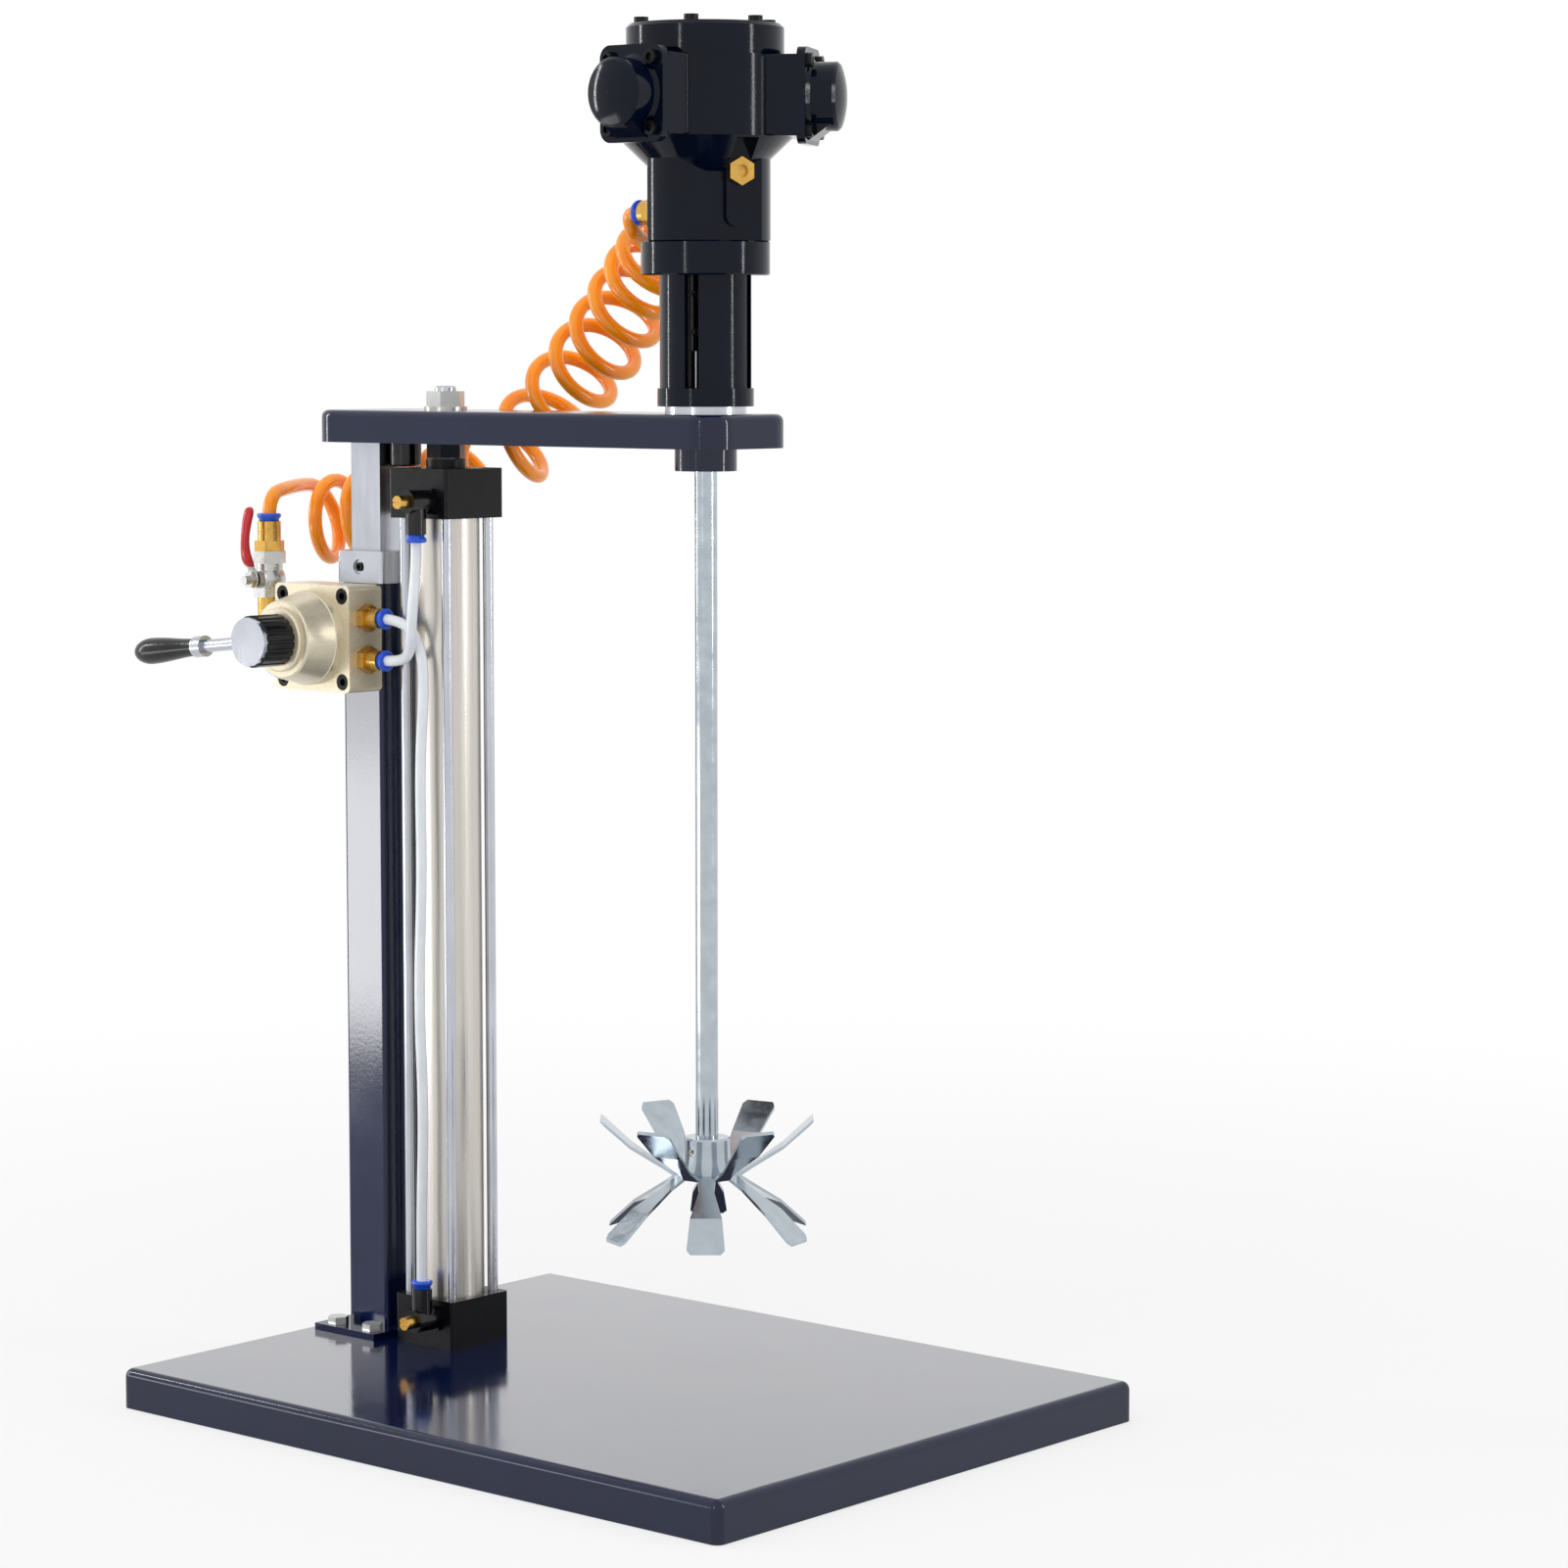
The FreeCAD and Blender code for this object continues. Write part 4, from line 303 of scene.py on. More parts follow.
hose = surface("coiled_hose_tube", hose_rings, distances_along(hose_line))
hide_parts("coiled_hose", "hose_lower_tail", "hose_upper_tail")
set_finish(hose, "orange_hose")
print("triangles of the hose:", 2 * len(hose.data.polygons))

# %% [markdown]
# ## The two air tubes
#
# Two milky 6 mm tubes bring the air from the hand valve to the two ends of the cylinder. They push
# into their fittings in a straight line and sag between them, so a few control points are enough.

# %% Air tubes from the valve to the cylinder
AIR_TUBE_RADIUS = 3.0
AIR_TUBE_STEP = 2.0
AIR_ROUTES = {
    "lower_air_tube": [
        (-157.0, -27.5, 431.2), (-138.1, -27.5, 431.2), (-126.4, -26.6, 416.2), (-123.4, -27.8, 393.1),
        (-124.0, -31.1, 351.1), (-122.8, -31.0, 289.3), (-125.2, -32.2, 222.1), (-123.1, -31.0, 158.6),
        (-124.6, -31.6, 106.3), (-124.0, -32.5, 76.4), (-124.0, -32.5, 57.75)],
    "upper_air_tube": [
        (-157.0, -27.5, 407.8), (-143.5, -27.5, 407.8), (-130.0, -32.3, 412.6), (-124.0, -37.1, 424.3),
        (-121.0, -38.5, 440.25), (-124.0, -32.5, 462.75), (-124.0, -32.5, 479.25)],
}
for tube_name, route in AIR_ROUTES.items():
    line, length = even_steps(smooth_route(route), AIR_TUBE_STEP * MM)
    rings = rings_along(line, AIR_TUBE_RADIUS * MM)
    air_tube = surface(tube_name + "_bent", rings, distances_along(line))
    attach(air_tube, "stand")
    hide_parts(tube_name)
    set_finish(air_tube, "milky_tube")
    print(tube_name, "length in metres:", round(float(length), 3))

# %% [markdown]
# ## The lever's grip
#
# The real grip is moulded in a polished tool and has no edge: it swells slowly away from the metal
# ferrule and closes in a round end. That is one radius along one axis, so a turned surface is enough.

# %% Profile of the grip
GRIP_RADIUS = 7.5
GRIP_NECK_RADIUS = 4.95
GRIP_LENGTH = 51.0
FULLEST_AT = 0.74  # share of the length at which the grip is thickest
TIP_SHARE = 0.0002  # keeps the last ring from being a point
GRIP_RINGS = 60


def grip_profile():
    """The radius rises in a smooth step from neck to full, and then falls as a quarter of an ellipse.

    The distances are a sine of even steps, so the rings lie close together at the round end.
    """
    share = np.sin(np.linspace(0.0, np.pi / 2, GRIP_RINGS))
    rise = np.minimum(share / FULLEST_AT, 1.0)
    radii = GRIP_NECK_RADIUS + (GRIP_RADIUS - GRIP_NECK_RADIUS) * rise ** 2 * (3 - 2 * rise)
    beyond = np.maximum(share - FULLEST_AT, 0.0) / (1.0 - FULLEST_AT + TIP_SHARE)
    return share * GRIP_LENGTH, radii * np.sqrt(1 - beyond ** 2)


grip_distances, grip_radii = grip_profile()
print("grip rings and largest radius:", len(grip_radii), round(float(grip_radii.max()), 2))

# %% Grip as a turned surface
LEVER_PIVOT = (-200.0, -76.3, 419.45)
PIVOT_TO_GRIP = 56.0
LEVER_DROP = math.radians(6.0)
LEVER_AXIS = np.array([-math.cos(LEVER_DROP), 0.0, -math.sin(LEVER_DROP)])


def turned_surface(name, radii_mm, distances_mm, start_mm, direction, sides=48):
    """At each distance along the direction from the start, a circle of the radius given for it."""
    heading = np.array(direction) / np.linalg.norm(direction)
    side = np.cross(heading, [0.0, 1.0, 0.0])
    side /= np.linalg.norm(side)
    around = once_around(sides)[:, None]
    ring = side * np.cos(around) + np.cross(heading, side) * np.sin(around)
    centres = np.array(start_mm) + distances_mm[:, None] * heading
    return surface(name, (centres[:, None] + radii_mm[:, None, None] * ring) * MM)


grip_start = np.array(LEVER_PIVOT) + PIVOT_TO_GRIP * LEVER_AXIS
grip = turned_surface("lever_grip_moulded", grip_radii, grip_distances, grip_start, LEVER_AXIS)
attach(grip, "valve_lever")
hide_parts("lever_grip")
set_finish(grip, "black_plastic")
print("grip starts at, in millimetres:", grip_start.round(1).tolist())

# %% [markdown]
# ## Release collars
#
# Pressing the blue collar of a push-in fitting lets its tube go. The real one has a short neck and a
# flange for the finger. The same profile is turned around each air tube and around both hose ends: each
# pair is a distance from the fitting's mouth and how far the collar stands out from the tube.

# %% Release collars
COLLAR_PROFILE = [(0.0, -0.3), (0.0, 1.6), (0.1, 1.7), (1.2, 1.7), (1.9, 2.3), (2.4, 2.7), (3.0, 2.85),
                  (3.7, 2.85), (4.2, 2.6), (4.5, 2.0), (4.5, 1.0), (4.2, -0.3)]
LOWER_ROUTE, UPPER_ROUTE = AIR_ROUTES.values()
COLLARS = {
    # name: the fitting's mouth, the way out of it, the tube's radius, the body, the CAD node
    "valve_upper_collar": (LOWER_ROUTE[0], (1, 0, 0), AIR_TUBE_RADIUS, "stand", "release_collars"),
    "valve_lower_collar": (UPPER_ROUTE[0], (1, 0, 0), AIR_TUBE_RADIUS, "stand", "release_collars"),
    "cylinder_low_collar": (LOWER_ROUTE[-1], (0, 0, 1), AIR_TUBE_RADIUS, "stand", "release_collars"),
    "cylinder_high_collar": (UPPER_ROUTE[-1], (0, 0, -1), AIR_TUBE_RADIUS, "stand", "release_collars"),
    "hose_low_collar": (ADAPTER_MOUTH, (0, 0, 1), HOSE_RADIUS, "stand", "release_collars"),
    "hose_high_collar": (MOTOR_MOUTH, (-1, 0, 0), HOSE_RADIUS, "lift", "hose_upper_collar"),
}
collar_steps, collar_heights = np.array(COLLAR_PROFILE).T
for collar_name, (mouth, way, tube_radius, body, cad_node) in COLLARS.items():
    collar = turned_surface(collar_name, tube_radius + collar_heights, collar_steps, mouth, way, sides=36)
    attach(collar, body)
    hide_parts(cad_node)
    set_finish(collar, "blue_plastic")
print("release collars:", len(COLLARS))

# %% [markdown]
# ## The ball valve's red lever
#
# A stamped plate leaves the stem, bends away from the valve and carries a sleeve that was dipped in
# liquid vinyl. Surface tension makes the sleeve round, thick at both ends and waisted in the middle.
# Plate and sleeve are level ellipses stacked upwards: a very flat one is a plate, a fuller one a sleeve.

# %% Red lever
LEVER_X = -248.0
LEVER_PLATE = [
    # y, z, half width, half thickness
    (-40.3, 445.9, 1.6, 0.6), (-40.3, 446.5, 2.9, 1.0), (-40.3, 448.0, 3.9, 1.0), (-40.3, 450.2, 4.3, 1.0),
    (-40.3, 452.6, 4.0, 1.0), (-40.5, 454.5, 3.5, 1.0), (-41.2, 456.5, 3.1, 1.1), (-42.4, 458.2, 2.8, 1.2),
    (-43.6, 459.8, 2.5, 1.3), (-44.6, 461.6, 2.2, 1.2), (-45.1, 463.0, 1.8, 1.0),
]
LEVER_SLEEVE = [
    (-41.9, 457.5, 1.2, 0.8), (-42.2, 457.8, 2.7, 1.8), (-42.9, 458.8, 3.3, 2.4), (-43.9, 460.5, 3.6, 2.7),
    (-44.8, 462.6, 3.6, 2.7), (-45.5, 465.2, 3.3, 2.5), (-46.0, 468.5, 2.9, 2.4), (-46.1, 472.0, 2.7, 2.3),
    (-45.8, 476.0, 2.7, 2.3), (-45.1, 480.0, 2.9, 2.4), (-44.2, 484.0, 3.1, 2.5), (-43.3, 487.4, 3.3, 2.5),
    (-42.8, 489.4, 3.1, 2.3), (-42.5, 490.7, 2.5, 1.9), (-42.3, 491.4, 1.6, 1.2), (-42.2, 491.7, 0.5, 0.4),
]


def stacked_ellipses(name, x, rows, sides=32):
    """A ring for each row, from low to high: (x + half width * cos, y + half thickness * sin, z)."""
    y, z, wide, thick = np.array(rows).T[:, :, None]
    around = once_around(sides)
    ring_parts = np.broadcast_arrays(x + wide * np.cos(around), y + thick * np.sin(around), z)
    return surface(name, np.stack(ring_parts, axis=-1) * MM)


for lever_name, profile, lever_slot in [("red_lever_plate", LEVER_PLATE, "zinc"),
                                        ("red_lever_sleeve", LEVER_SLEEVE, "red_vinyl")]:
    red_lever = stacked_ellipses(lever_name, LEVER_X, profile)
    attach(red_lever, "ball_lever")
    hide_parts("red_lever")
    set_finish(red_lever, lever_slot)
print("red lever rings:", len(LEVER_PLATE) + len(LEVER_SLEEVE))

# %% [markdown]
# ## Colours and nodes
#
# A colour picked from a picture is in sRGB, but shaders work with linear light, so one function
# turns a hex value into linear numbers. A second small function adds any node, sets its values and
# links its inputs. With these two, each finish is a short list of nodes that reads from top to bottom.
# The size of a pattern is written in millimetres: one over that size is the scale of its noise.

# %% Two small helpers for materials
# the Mix node has sockets of the same names for several kinds of data, so the ones for colours are numbers
SHARE, FROM, TO, MIXED = 0, 6, 7, 2
# nearly all of a noise lies between these two values
NOISE_RANGE = {"From Min": 0.3, "From Max": 0.7}


def linear(hex_colour):
    """Each channel c becomes c / 12.92 where dark, and ((c + 0.055) / 1.055) ** 2.4 elsewhere."""
    channels = np.array([int(hex_colour[k:k + 2], 16) for k in (0, 2, 4)]) / 255
    bright = ((channels + 0.055) / 1.055) ** 2.4
    return [*np.where(channels <= 0.04045, channels / 12.92, bright).tolist(), 1.0]


def add(tree, kind, inputs=None, **settings):
    """One node of a kind: settings are its attributes, and inputs are numbers or other nodes' outputs."""
    node = tree.nodes.new(kind)
    for name, value in settings.items():
        setattr(node, name, value)
    for name, value in (inputs or {}).items():
        if isinstance(value, bpy.types.NodeSocket):
            tree.links.new(value, node.inputs[name])
        else:
            node.inputs[name].default_value = value
    return node


finishes = {}


def new_finish(name):
    """An empty material kept under its name, and its node tree."""
    material = bpy.data.materials.new(name)
    material.use_nodes = True
    material.node_tree.nodes.clear()
    finishes[name] = material
    return material.node_tree


print("navy enamel in linear light:", [round(c, 4) for c in linear("060d27")])

# %% [markdown]
# ## Black gloss: stoved enamel on steel
#
# The base, the column and the arm are folded or drawn steel with a blue-black baked enamel. Sprayed
# enamel is never quite flat: it has an orange-peel ripple of about two millimetres, which breaks up
# reflections, and wiping leaves patches of a few centimetres that are a little duller. It is glossy
# without a clear coat. The photograph shows slightly less of the white studio in it than plain enamel
# would mirror, so its Specular IOR Level is a little under the default of 0.5.

# %% Black gloss
tree = new_finish("black_gloss")
place = add(tree, "ShaderNodeTexCoord").outputs["Object"]
peel = add(tree, "ShaderNodeTexNoise", {"Vector": place, "Scale": 1 / (2.2 * MM), "Detail": 2.0})
ripple = add(tree, "ShaderNodeBump", {
    "Height": peel.outputs["Fac"], "Strength": 0.10, "Distance": 0.2 * MM})
wiping = add(tree, "ShaderNodeTexNoise", {
    "Vector": place, "Scale": 1 / (60.0 * MM), "Detail": 4.0, "Roughness": 0.6})
dullness = add(tree, "ShaderNodeMapRange", {
    "Value": wiping.outputs["Fac"], **NOISE_RANGE, "To Min": 0.07, "To Max": 0.15})
depth = add(tree, "ShaderNodeMix", {
    SHARE: wiping.outputs["Fac"], FROM: linear("060d27"), TO: linear("0b183e")}, data_type="RGBA")
enamel = add(tree, "ShaderNodeBsdfPrincipled", {
    "Base Color": depth.outputs[MIXED], "Roughness": dullness.outputs["Result"], "IOR": 1.5,
    "Specular IOR Level": 0.42, "Normal": ripple.outputs["Normal"]})
add(tree, "ShaderNodeOutputMaterial", {"Surface": enamel.outputs["BSDF"]})
print("black gloss nodes:", len(tree.nodes))

# %% [markdown]
# ## Motor black: enamel on cast aluminium
#
# The motor's housing and cylinder heads are sand castings under black enamel. The paint rounds the
# sand's grain off but doesn't hide it, so the surface is softly pitted at about a millimetre. In the
# photograph its highlights are narrow and the rest is nearly black: the roughness is low, and the
# Specular IOR Level is under half of its default.

# %% Motor black
tree = new_finish("motor_black")
place = add(tree, "ShaderNodeTexCoord").outputs["Object"]
sand = add(tree, "ShaderNodeTexNoise", {
    "Vector": place, "Scale": 1 / (1.2 * MM), "Detail": 3.0, "Roughness": 0.55})
grain = add(tree, "ShaderNodeBump", {
    "Height": sand.outputs["Fac"], "Strength": 0.12, "Distance": 0.2 * MM})
handling = add(tree, "ShaderNodeTexNoise", {"Vector": place, "Scale": 1 / (25.0 * MM), "Detail": 3.0})
dullness = add(tree, "ShaderNodeMapRange", {
    "Value": handling.outputs["Fac"], **NOISE_RANGE, "To Min": 0.06, "To Max": 0.13})
depth = add(tree, "ShaderNodeMix", {
    SHARE: handling.outputs["Fac"], FROM: linear("02060f"), TO: linear("050e24")}, data_type="RGBA")
cast = add(tree, "ShaderNodeBsdfPrincipled", {
    "Base Color": depth.outputs[MIXED], "Roughness": dullness.outputs["Result"], "IOR": 1.45,
    "Specular IOR Level": 0.22, "Normal": grain.outputs["Normal"]})
add(tree, "ShaderNodeOutputMaterial", {"Surface": cast.outputs["BSDF"]})
print("motor black nodes:", len(tree.nodes))

# %% [markdown]
# ## Anodised black: milled aluminium, dyed
#
# The cylinder's square caps and the shaft coupling are milled aluminium with a black dyed anodising.
# It looks like soft black metal and keeps the fine marks of the cutter: a noise of four millimetres,
# pressed together along the height until its lines are half a millimetre apart. Its Specular IOR Level
# is lowered until it is as dark as in the photograph.

# %% Anodised black
tree = new_finish("anodised_black")
place = add(tree, "ShaderNodeTexCoord").outputs["Object"]
pressed = add(tree, "ShaderNodeMapping", {"Vector": place, "Scale": (1.0, 1.0, 9.0)})
cutter = add(tree, "ShaderNodeTexNoise", {
    "Vector": pressed.outputs["Vector"], "Scale": 1 / (4.0 * MM), "Detail": 3.0})
marks = add(tree, "ShaderNodeBump", {
    "Height": cutter.outputs["Fac"], "Strength": 0.12, "Distance": 0.1 * MM})
dye = add(tree, "ShaderNodeTexNoise", {"Vector": place, "Scale": 1 / (12.0 * MM), "Detail": 3.0})
dyed = add(tree, "ShaderNodeMix", {
    SHARE: dye.outputs["Fac"], FROM: linear("08090b"), TO: linear("121317")}, data_type="RGBA")
dullness = add(tree, "ShaderNodeMapRange", {
    "Value": cutter.outputs["Fac"], **NOISE_RANGE, "To Min": 0.26, "To Max": 0.40})
oxide = add(tree, "ShaderNodeBsdfPrincipled", {
    "Base Color": dyed.outputs[MIXED], "Metallic": 0.35, "Roughness": dullness.outputs["Result"],
    "Specular IOR Level": 0.3, "Normal": marks.outputs["Normal"]})
add(tree, "ShaderNodeOutputMaterial", {"Surface": oxide.outputs["BSDF"]})
print("anodised black nodes:", len(tree.nodes))

# %% [markdown]
# ## Champagne: lacquered die casting
#
# The hand valve's body and cover are die-cast aluminium with a beige metallic lacquer and a thin clear
# coat. The flakes that glitter in it are too fine for a render, so they are drawn half a millimetre
# across. The casting skin under the lacquer waves a little.

# %% Champagne
tree = new_finish("champagne")
place = add(tree, "ShaderNodeTexCoord").outputs["Object"]
flakes = add(tree, "ShaderNodeTexVoronoi", {"Vector": place, "Scale": 1 / (0.5 * MM)})
glitter = add(tree, "ShaderNodeMix", {
    SHARE: flakes.outputs["Distance"], FROM: linear("efe7d2"), TO: linear("c8bb9c")}, data_type="RGBA")
skin = add(tree, "ShaderNodeTexNoise", {"Vector": place, "Scale": 1 / (1.6 * MM), "Detail": 3.0})
wave = add(tree, "ShaderNodeBump", {
    "Height": skin.outputs["Fac"], "Strength": 0.15, "Distance": 0.2 * MM})
dullness = add(tree, "ShaderNodeMapRange", {
    "Value": skin.outputs["Fac"], **NOISE_RANGE, "To Min": 0.30, "To Max": 0.42})
lacquer = add(tree, "ShaderNodeBsdfPrincipled", {
    "Base Color": glitter.outputs[MIXED], "Metallic": 0.55, "Roughness": dullness.outputs["Result"],
    "Coat Weight": 0.3, "Coat Roughness": 0.1, "Normal": wave.outputs["Normal"]})
add(tree, "ShaderNodeOutputMaterial", {"Surface": lacquer.outputs["BSDF"]})
print("champagne nodes:", len(tree.nodes))

# %% [markdown]
# ## Bright steel: ground and hard-chromed
#
# The square guide bar, the tie rods and the piston rod are ground lengthwise. The grinding leaves
# long fine scratches: a noise pulled out fifty times along the height. They are drawn coarser than
# real ones, 0.6 mm wide, so that they show.

# %% Bright steel
tree = new_finish("bright_steel")
place = add(tree, "ShaderNodeTexCoord").outputs["Object"]
drawn = add(tree, "ShaderNodeMapping", {"Vector": place, "Scale": (1.0, 1.0, 0.02)})
scratch = add(tree, "ShaderNodeTexNoise", {
    "Vector": drawn.outputs["Vector"], "Scale": 1 / (0.6 * MM), "Detail": 3.0})
grooves = add(tree, "ShaderNodeBump", {
    "Height": scratch.outputs["Fac"], "Strength": 0.10, "Distance": 0.08 * MM})
oil = add(tree, "ShaderNodeTexNoise", {"Vector": place, "Scale": 1 / (30.0 * MM), "Detail": 3.0})
tint = add(tree, "ShaderNodeMix", {
    SHARE: oil.outputs["Fac"], FROM: linear("adb1ba"), TO: linear("cfd1d8")}, data_type="RGBA")
dullness = add(tree, "ShaderNodeMapRange", {
    "Value": scratch.outputs["Fac"], **NOISE_RANGE, "To Min": 0.14, "To Max": 0.26})
steel = add(tree, "ShaderNodeBsdfPrincipled", {
    "Base Color": tint.outputs[MIXED], "Metallic": 1.0, "Roughness": dullness.outputs["Result"],
    "Normal": grooves.outputs["Normal"]})
add(tree, "ShaderNodeOutputMaterial", {"Surface": steel.outputs["BSDF"]})
print("bright steel nodes:", len(tree.nodes))

# %% [markdown]
# ## Stainless: turned and polished
#
# The mixing shaft and the impeller are stainless steel, polished so that paint wipes off. Polishing
# leaves cloudy patches of about nine millimetres, and hairline scratches that run around the shaft.
# The scratches are drawn 0.8 mm apart, coarser than real ones, so that they show.

# %% Stainless
tree = new_finish("stainless")
place = add(tree, "ShaderNodeTexCoord").outputs["Object"]
turned = add(tree, "ShaderNodeMapping", {"Vector": place, "Scale": (0.06, 0.06, 1.0)})
hairline = add(tree, "ShaderNodeTexNoise", {
    "Vector": turned.outputs["Vector"], "Scale": 1 / (0.8 * MM), "Detail": 3.0})
lines = add(tree, "ShaderNodeBump", {
    "Height": hairline.outputs["Fac"], "Strength": 0.06, "Distance": 0.08 * MM})
polish = add(tree, "ShaderNodeTexNoise", {"Vector": place, "Scale": 1 / (9.0 * MM), "Detail": 4.0})
dullness = add(tree, "ShaderNodeMapRange", {
    "Value": polish.outputs["Fac"], **NOISE_RANGE, "To Min": 0.09, "To Max": 0.22})
tint = add(tree, "ShaderNodeMix", {
    SHARE: polish.outputs["Fac"], FROM: linear("9fa8b0"), TO: linear("c3ccd3")}, data_type="RGBA")
chromium = add(tree, "ShaderNodeBsdfPrincipled", {
    "Base Color": tint.outputs[MIXED], "Metallic": 1.0, "Roughness": dullness.outputs["Result"],
    "Normal": lines.outputs["Normal"]})
add(tree, "ShaderNodeOutputMaterial", {"Surface": chromium.outputs["BSDF"]})
print("stainless nodes:", len(tree.nodes))

# %% [markdown]
# ## Zinc: plated fasteners
#
# Screws, nuts and the ball valve's body have a bright zinc plating. It is a soft grey metal whose
# passivation gives it faint blue and yellow clouds, each a few millimetres across. Its crystals are
# drawn coarser than real ones, half a millimetre across, so that they show.

# %% Zinc
ZINC_BLUISH, ZINC_YELLOWISH = linear("b4bac4"), linear("cfcabb")
tree = new_finish("zinc")
place = add(tree, "ShaderNodeTexCoord").outputs["Object"]
clouds = add(tree, "ShaderNodeTexNoise", {"Vector": place, "Scale": 1 / (4.0 * MM), "Detail": 3.0})
tint = add(tree, "ShaderNodeMix", {
    SHARE: clouds.outputs["Fac"], FROM: ZINC_BLUISH, TO: ZINC_YELLOWISH}, data_type="RGBA")
crystals = add(tree, "ShaderNodeTexNoise", {"Vector": place, "Scale": 1 / (0.5 * MM), "Detail": 2.0})
skin = add(tree, "ShaderNodeBump", {
    "Height": crystals.outputs["Fac"], "Strength": 0.12, "Distance": 0.08 * MM})
dullness = add(tree, "ShaderNodeMapRange", {
    "Value": crystals.outputs["Fac"], **NOISE_RANGE, "To Min": 0.24, "To Max": 0.38})
plating = add(tree, "ShaderNodeBsdfPrincipled", {
    "Base Color": tint.outputs[MIXED], "Metallic": 1.0, "Roughness": dullness.outputs["Result"],
    "Normal": skin.outputs["Normal"]})
add(tree, "ShaderNodeOutputMaterial", {"Surface": plating.outputs["BSDF"]})
print("zinc nodes:", len(tree.nodes))

# %% [markdown]
# ## Rod nuts: dark below the arm, zinc above
#
# The lock nut under the arm is coloured dark grey, while the nut and the washer above the arm are
# zinc-plated.
# They are one node, so this finish looks at the height: it changes in the middle of the arm.

# %% Two-tone rod nuts
arm_low, arm_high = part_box("arm")
arm_middle = (arm_low.z + arm_high.z) / 2
tree = new_finish("rod_nuts_two_tone")
place = add(tree, "ShaderNodeTexCoord").outputs["Object"]
height = add(tree, "ShaderNodeSeparateXYZ", {"Vector": place}).outputs["Z"]
above = add(tree, "ShaderNodeMath", {0: height, 1: arm_middle}, operation="GREATER_THAN")
clouds = add(tree, "ShaderNodeTexNoise", {"Vector": place, "Scale": 1 / (4.0 * MM), "Detail": 3.0})
bright = add(tree, "ShaderNodeMix", {
    SHARE: clouds.outputs["Fac"], FROM: ZINC_BLUISH, TO: ZINC_YELLOWISH}, data_type="RGBA")
dark = add(tree, "ShaderNodeMix", {
    SHARE: clouds.outputs["Fac"], FROM: linear("15161a"), TO: linear("24252a")}, data_type="RGBA")
tint = add(tree, "ShaderNodeMix", {
    SHARE: above.outputs["Value"], FROM: dark.outputs[MIXED], TO: bright.outputs[MIXED]}, data_type="RGBA")
skin = add(tree, "ShaderNodeBump", {
    "Height": clouds.outputs["Fac"], "Strength": 0.12, "Distance": 0.1 * MM})
plating = add(tree, "ShaderNodeBsdfPrincipled", {
    "Base Color": tint.outputs[MIXED], "Metallic": 1.0, "Roughness": 0.3, "Normal": skin.outputs["Normal"]})
add(tree, "ShaderNodeOutputMaterial", {"Surface": plating.outputs["BSDF"]})
print("rod nuts change colour at, in metres:", round(arm_middle, 4))

# %% [markdown]
# ## Barrel aluminium: drawn and anodised clear
#
# The cylinder's barrel is a drawn aluminium profile. The drawing die leaves straight lines from end
# to end, and the clear anodising makes the shine milky. The lines are drawn about a millimetre apart,
# coarser than real ones, so that they show.

# %% Barrel aluminium
tree = new_finish("barrel_aluminium")
place = add(tree, "ShaderNodeTexCoord").outputs["Object"]
drawn = add(tree, "ShaderNodeMapping", {"Vector": place, "Scale": (1.0, 1.0, 0.008)})
die = add(tree, "ShaderNodeTexNoise", {
    "Vector": drawn.outputs["Vector"], "Scale": 1 / (1.1 * MM), "Detail": 4.0})
grooves = add(tree, "ShaderNodeBump", {
    "Height": die.outputs["Fac"], "Strength": 0.14, "Distance": 0.1 * MM})
tint = add(tree, "ShaderNodeMix", {
    SHARE: die.outputs["Fac"], FROM: linear("bcb8b1"), TO: linear("dad5ce")}, data_type="RGBA")
dullness = add(tree, "ShaderNodeMapRange", {
    "Value": die.outputs["Fac"], **NOISE_RANGE, "To Min": 0.24, "To Max": 0.36})
oxide = add(tree, "ShaderNodeBsdfPrincipled", {
    "Base Color": tint.outputs[MIXED], "Metallic": 1.0, "Roughness": dullness.outputs["Result"],
    "Normal": grooves.outputs["Normal"]})
add(tree, "ShaderNodeOutputMaterial", {"Surface": oxide.outputs["BSDF"]})
print("barrel aluminium nodes:", len(tree.nodes))

# %% [markdown]
# ## Brass: turned fittings
#
# Fittings, the plug and the speed screws are free-cutting brass, turned on a lathe and tarnished to
# honey in patches of about five millimetres. The marks of the tool are drawn coarse, 0.4 mm apart.

# %% Brass
tree = new_finish("brass")
place = add(tree, "ShaderNodeTexCoord").outputs["Object"]
tarnish = add(tree, "ShaderNodeTexNoise", {"Vector": place, "Scale": 1 / (5.0 * MM), "Detail": 4.0})
tint = add(tree, "ShaderNodeMix", {
    SHARE: tarnish.outputs["Fac"], FROM: linear("b08038"), TO: linear("e8be66")}, data_type="RGBA")
tool = add(tree, "ShaderNodeTexNoise", {"Vector": place, "Scale": 1 / (0.4 * MM), "Detail": 2.0})
marks = add(tree, "ShaderNodeBump", {
    "Height": tool.outputs["Fac"], "Strength": 0.12, "Distance": 0.08 * MM})
dullness = add(tree, "ShaderNodeMapRange", {
    "Value": tarnish.outputs["Fac"], **NOISE_RANGE, "To Min": 0.34, "To Max": 0.20})
metal = add(tree, "ShaderNodeBsdfPrincipled", {
    "Base Color": tint.outputs[MIXED], "Metallic": 1.0, "Roughness": dullness.outputs["Result"],
    "Normal": marks.outputs["Normal"]})
add(tree, "ShaderNodeOutputMaterial", {"Surface": metal.outputs["BSDF"]})
print("brass nodes:", len(tree.nodes))

# %% [markdown]
# ## Bronze: pressed bushes
#
# The bushes are bronze pressed from powder, so they are browner and duller than brass, and porous.
# Their pores are too fine for a render, so they are drawn half a millimetre across.

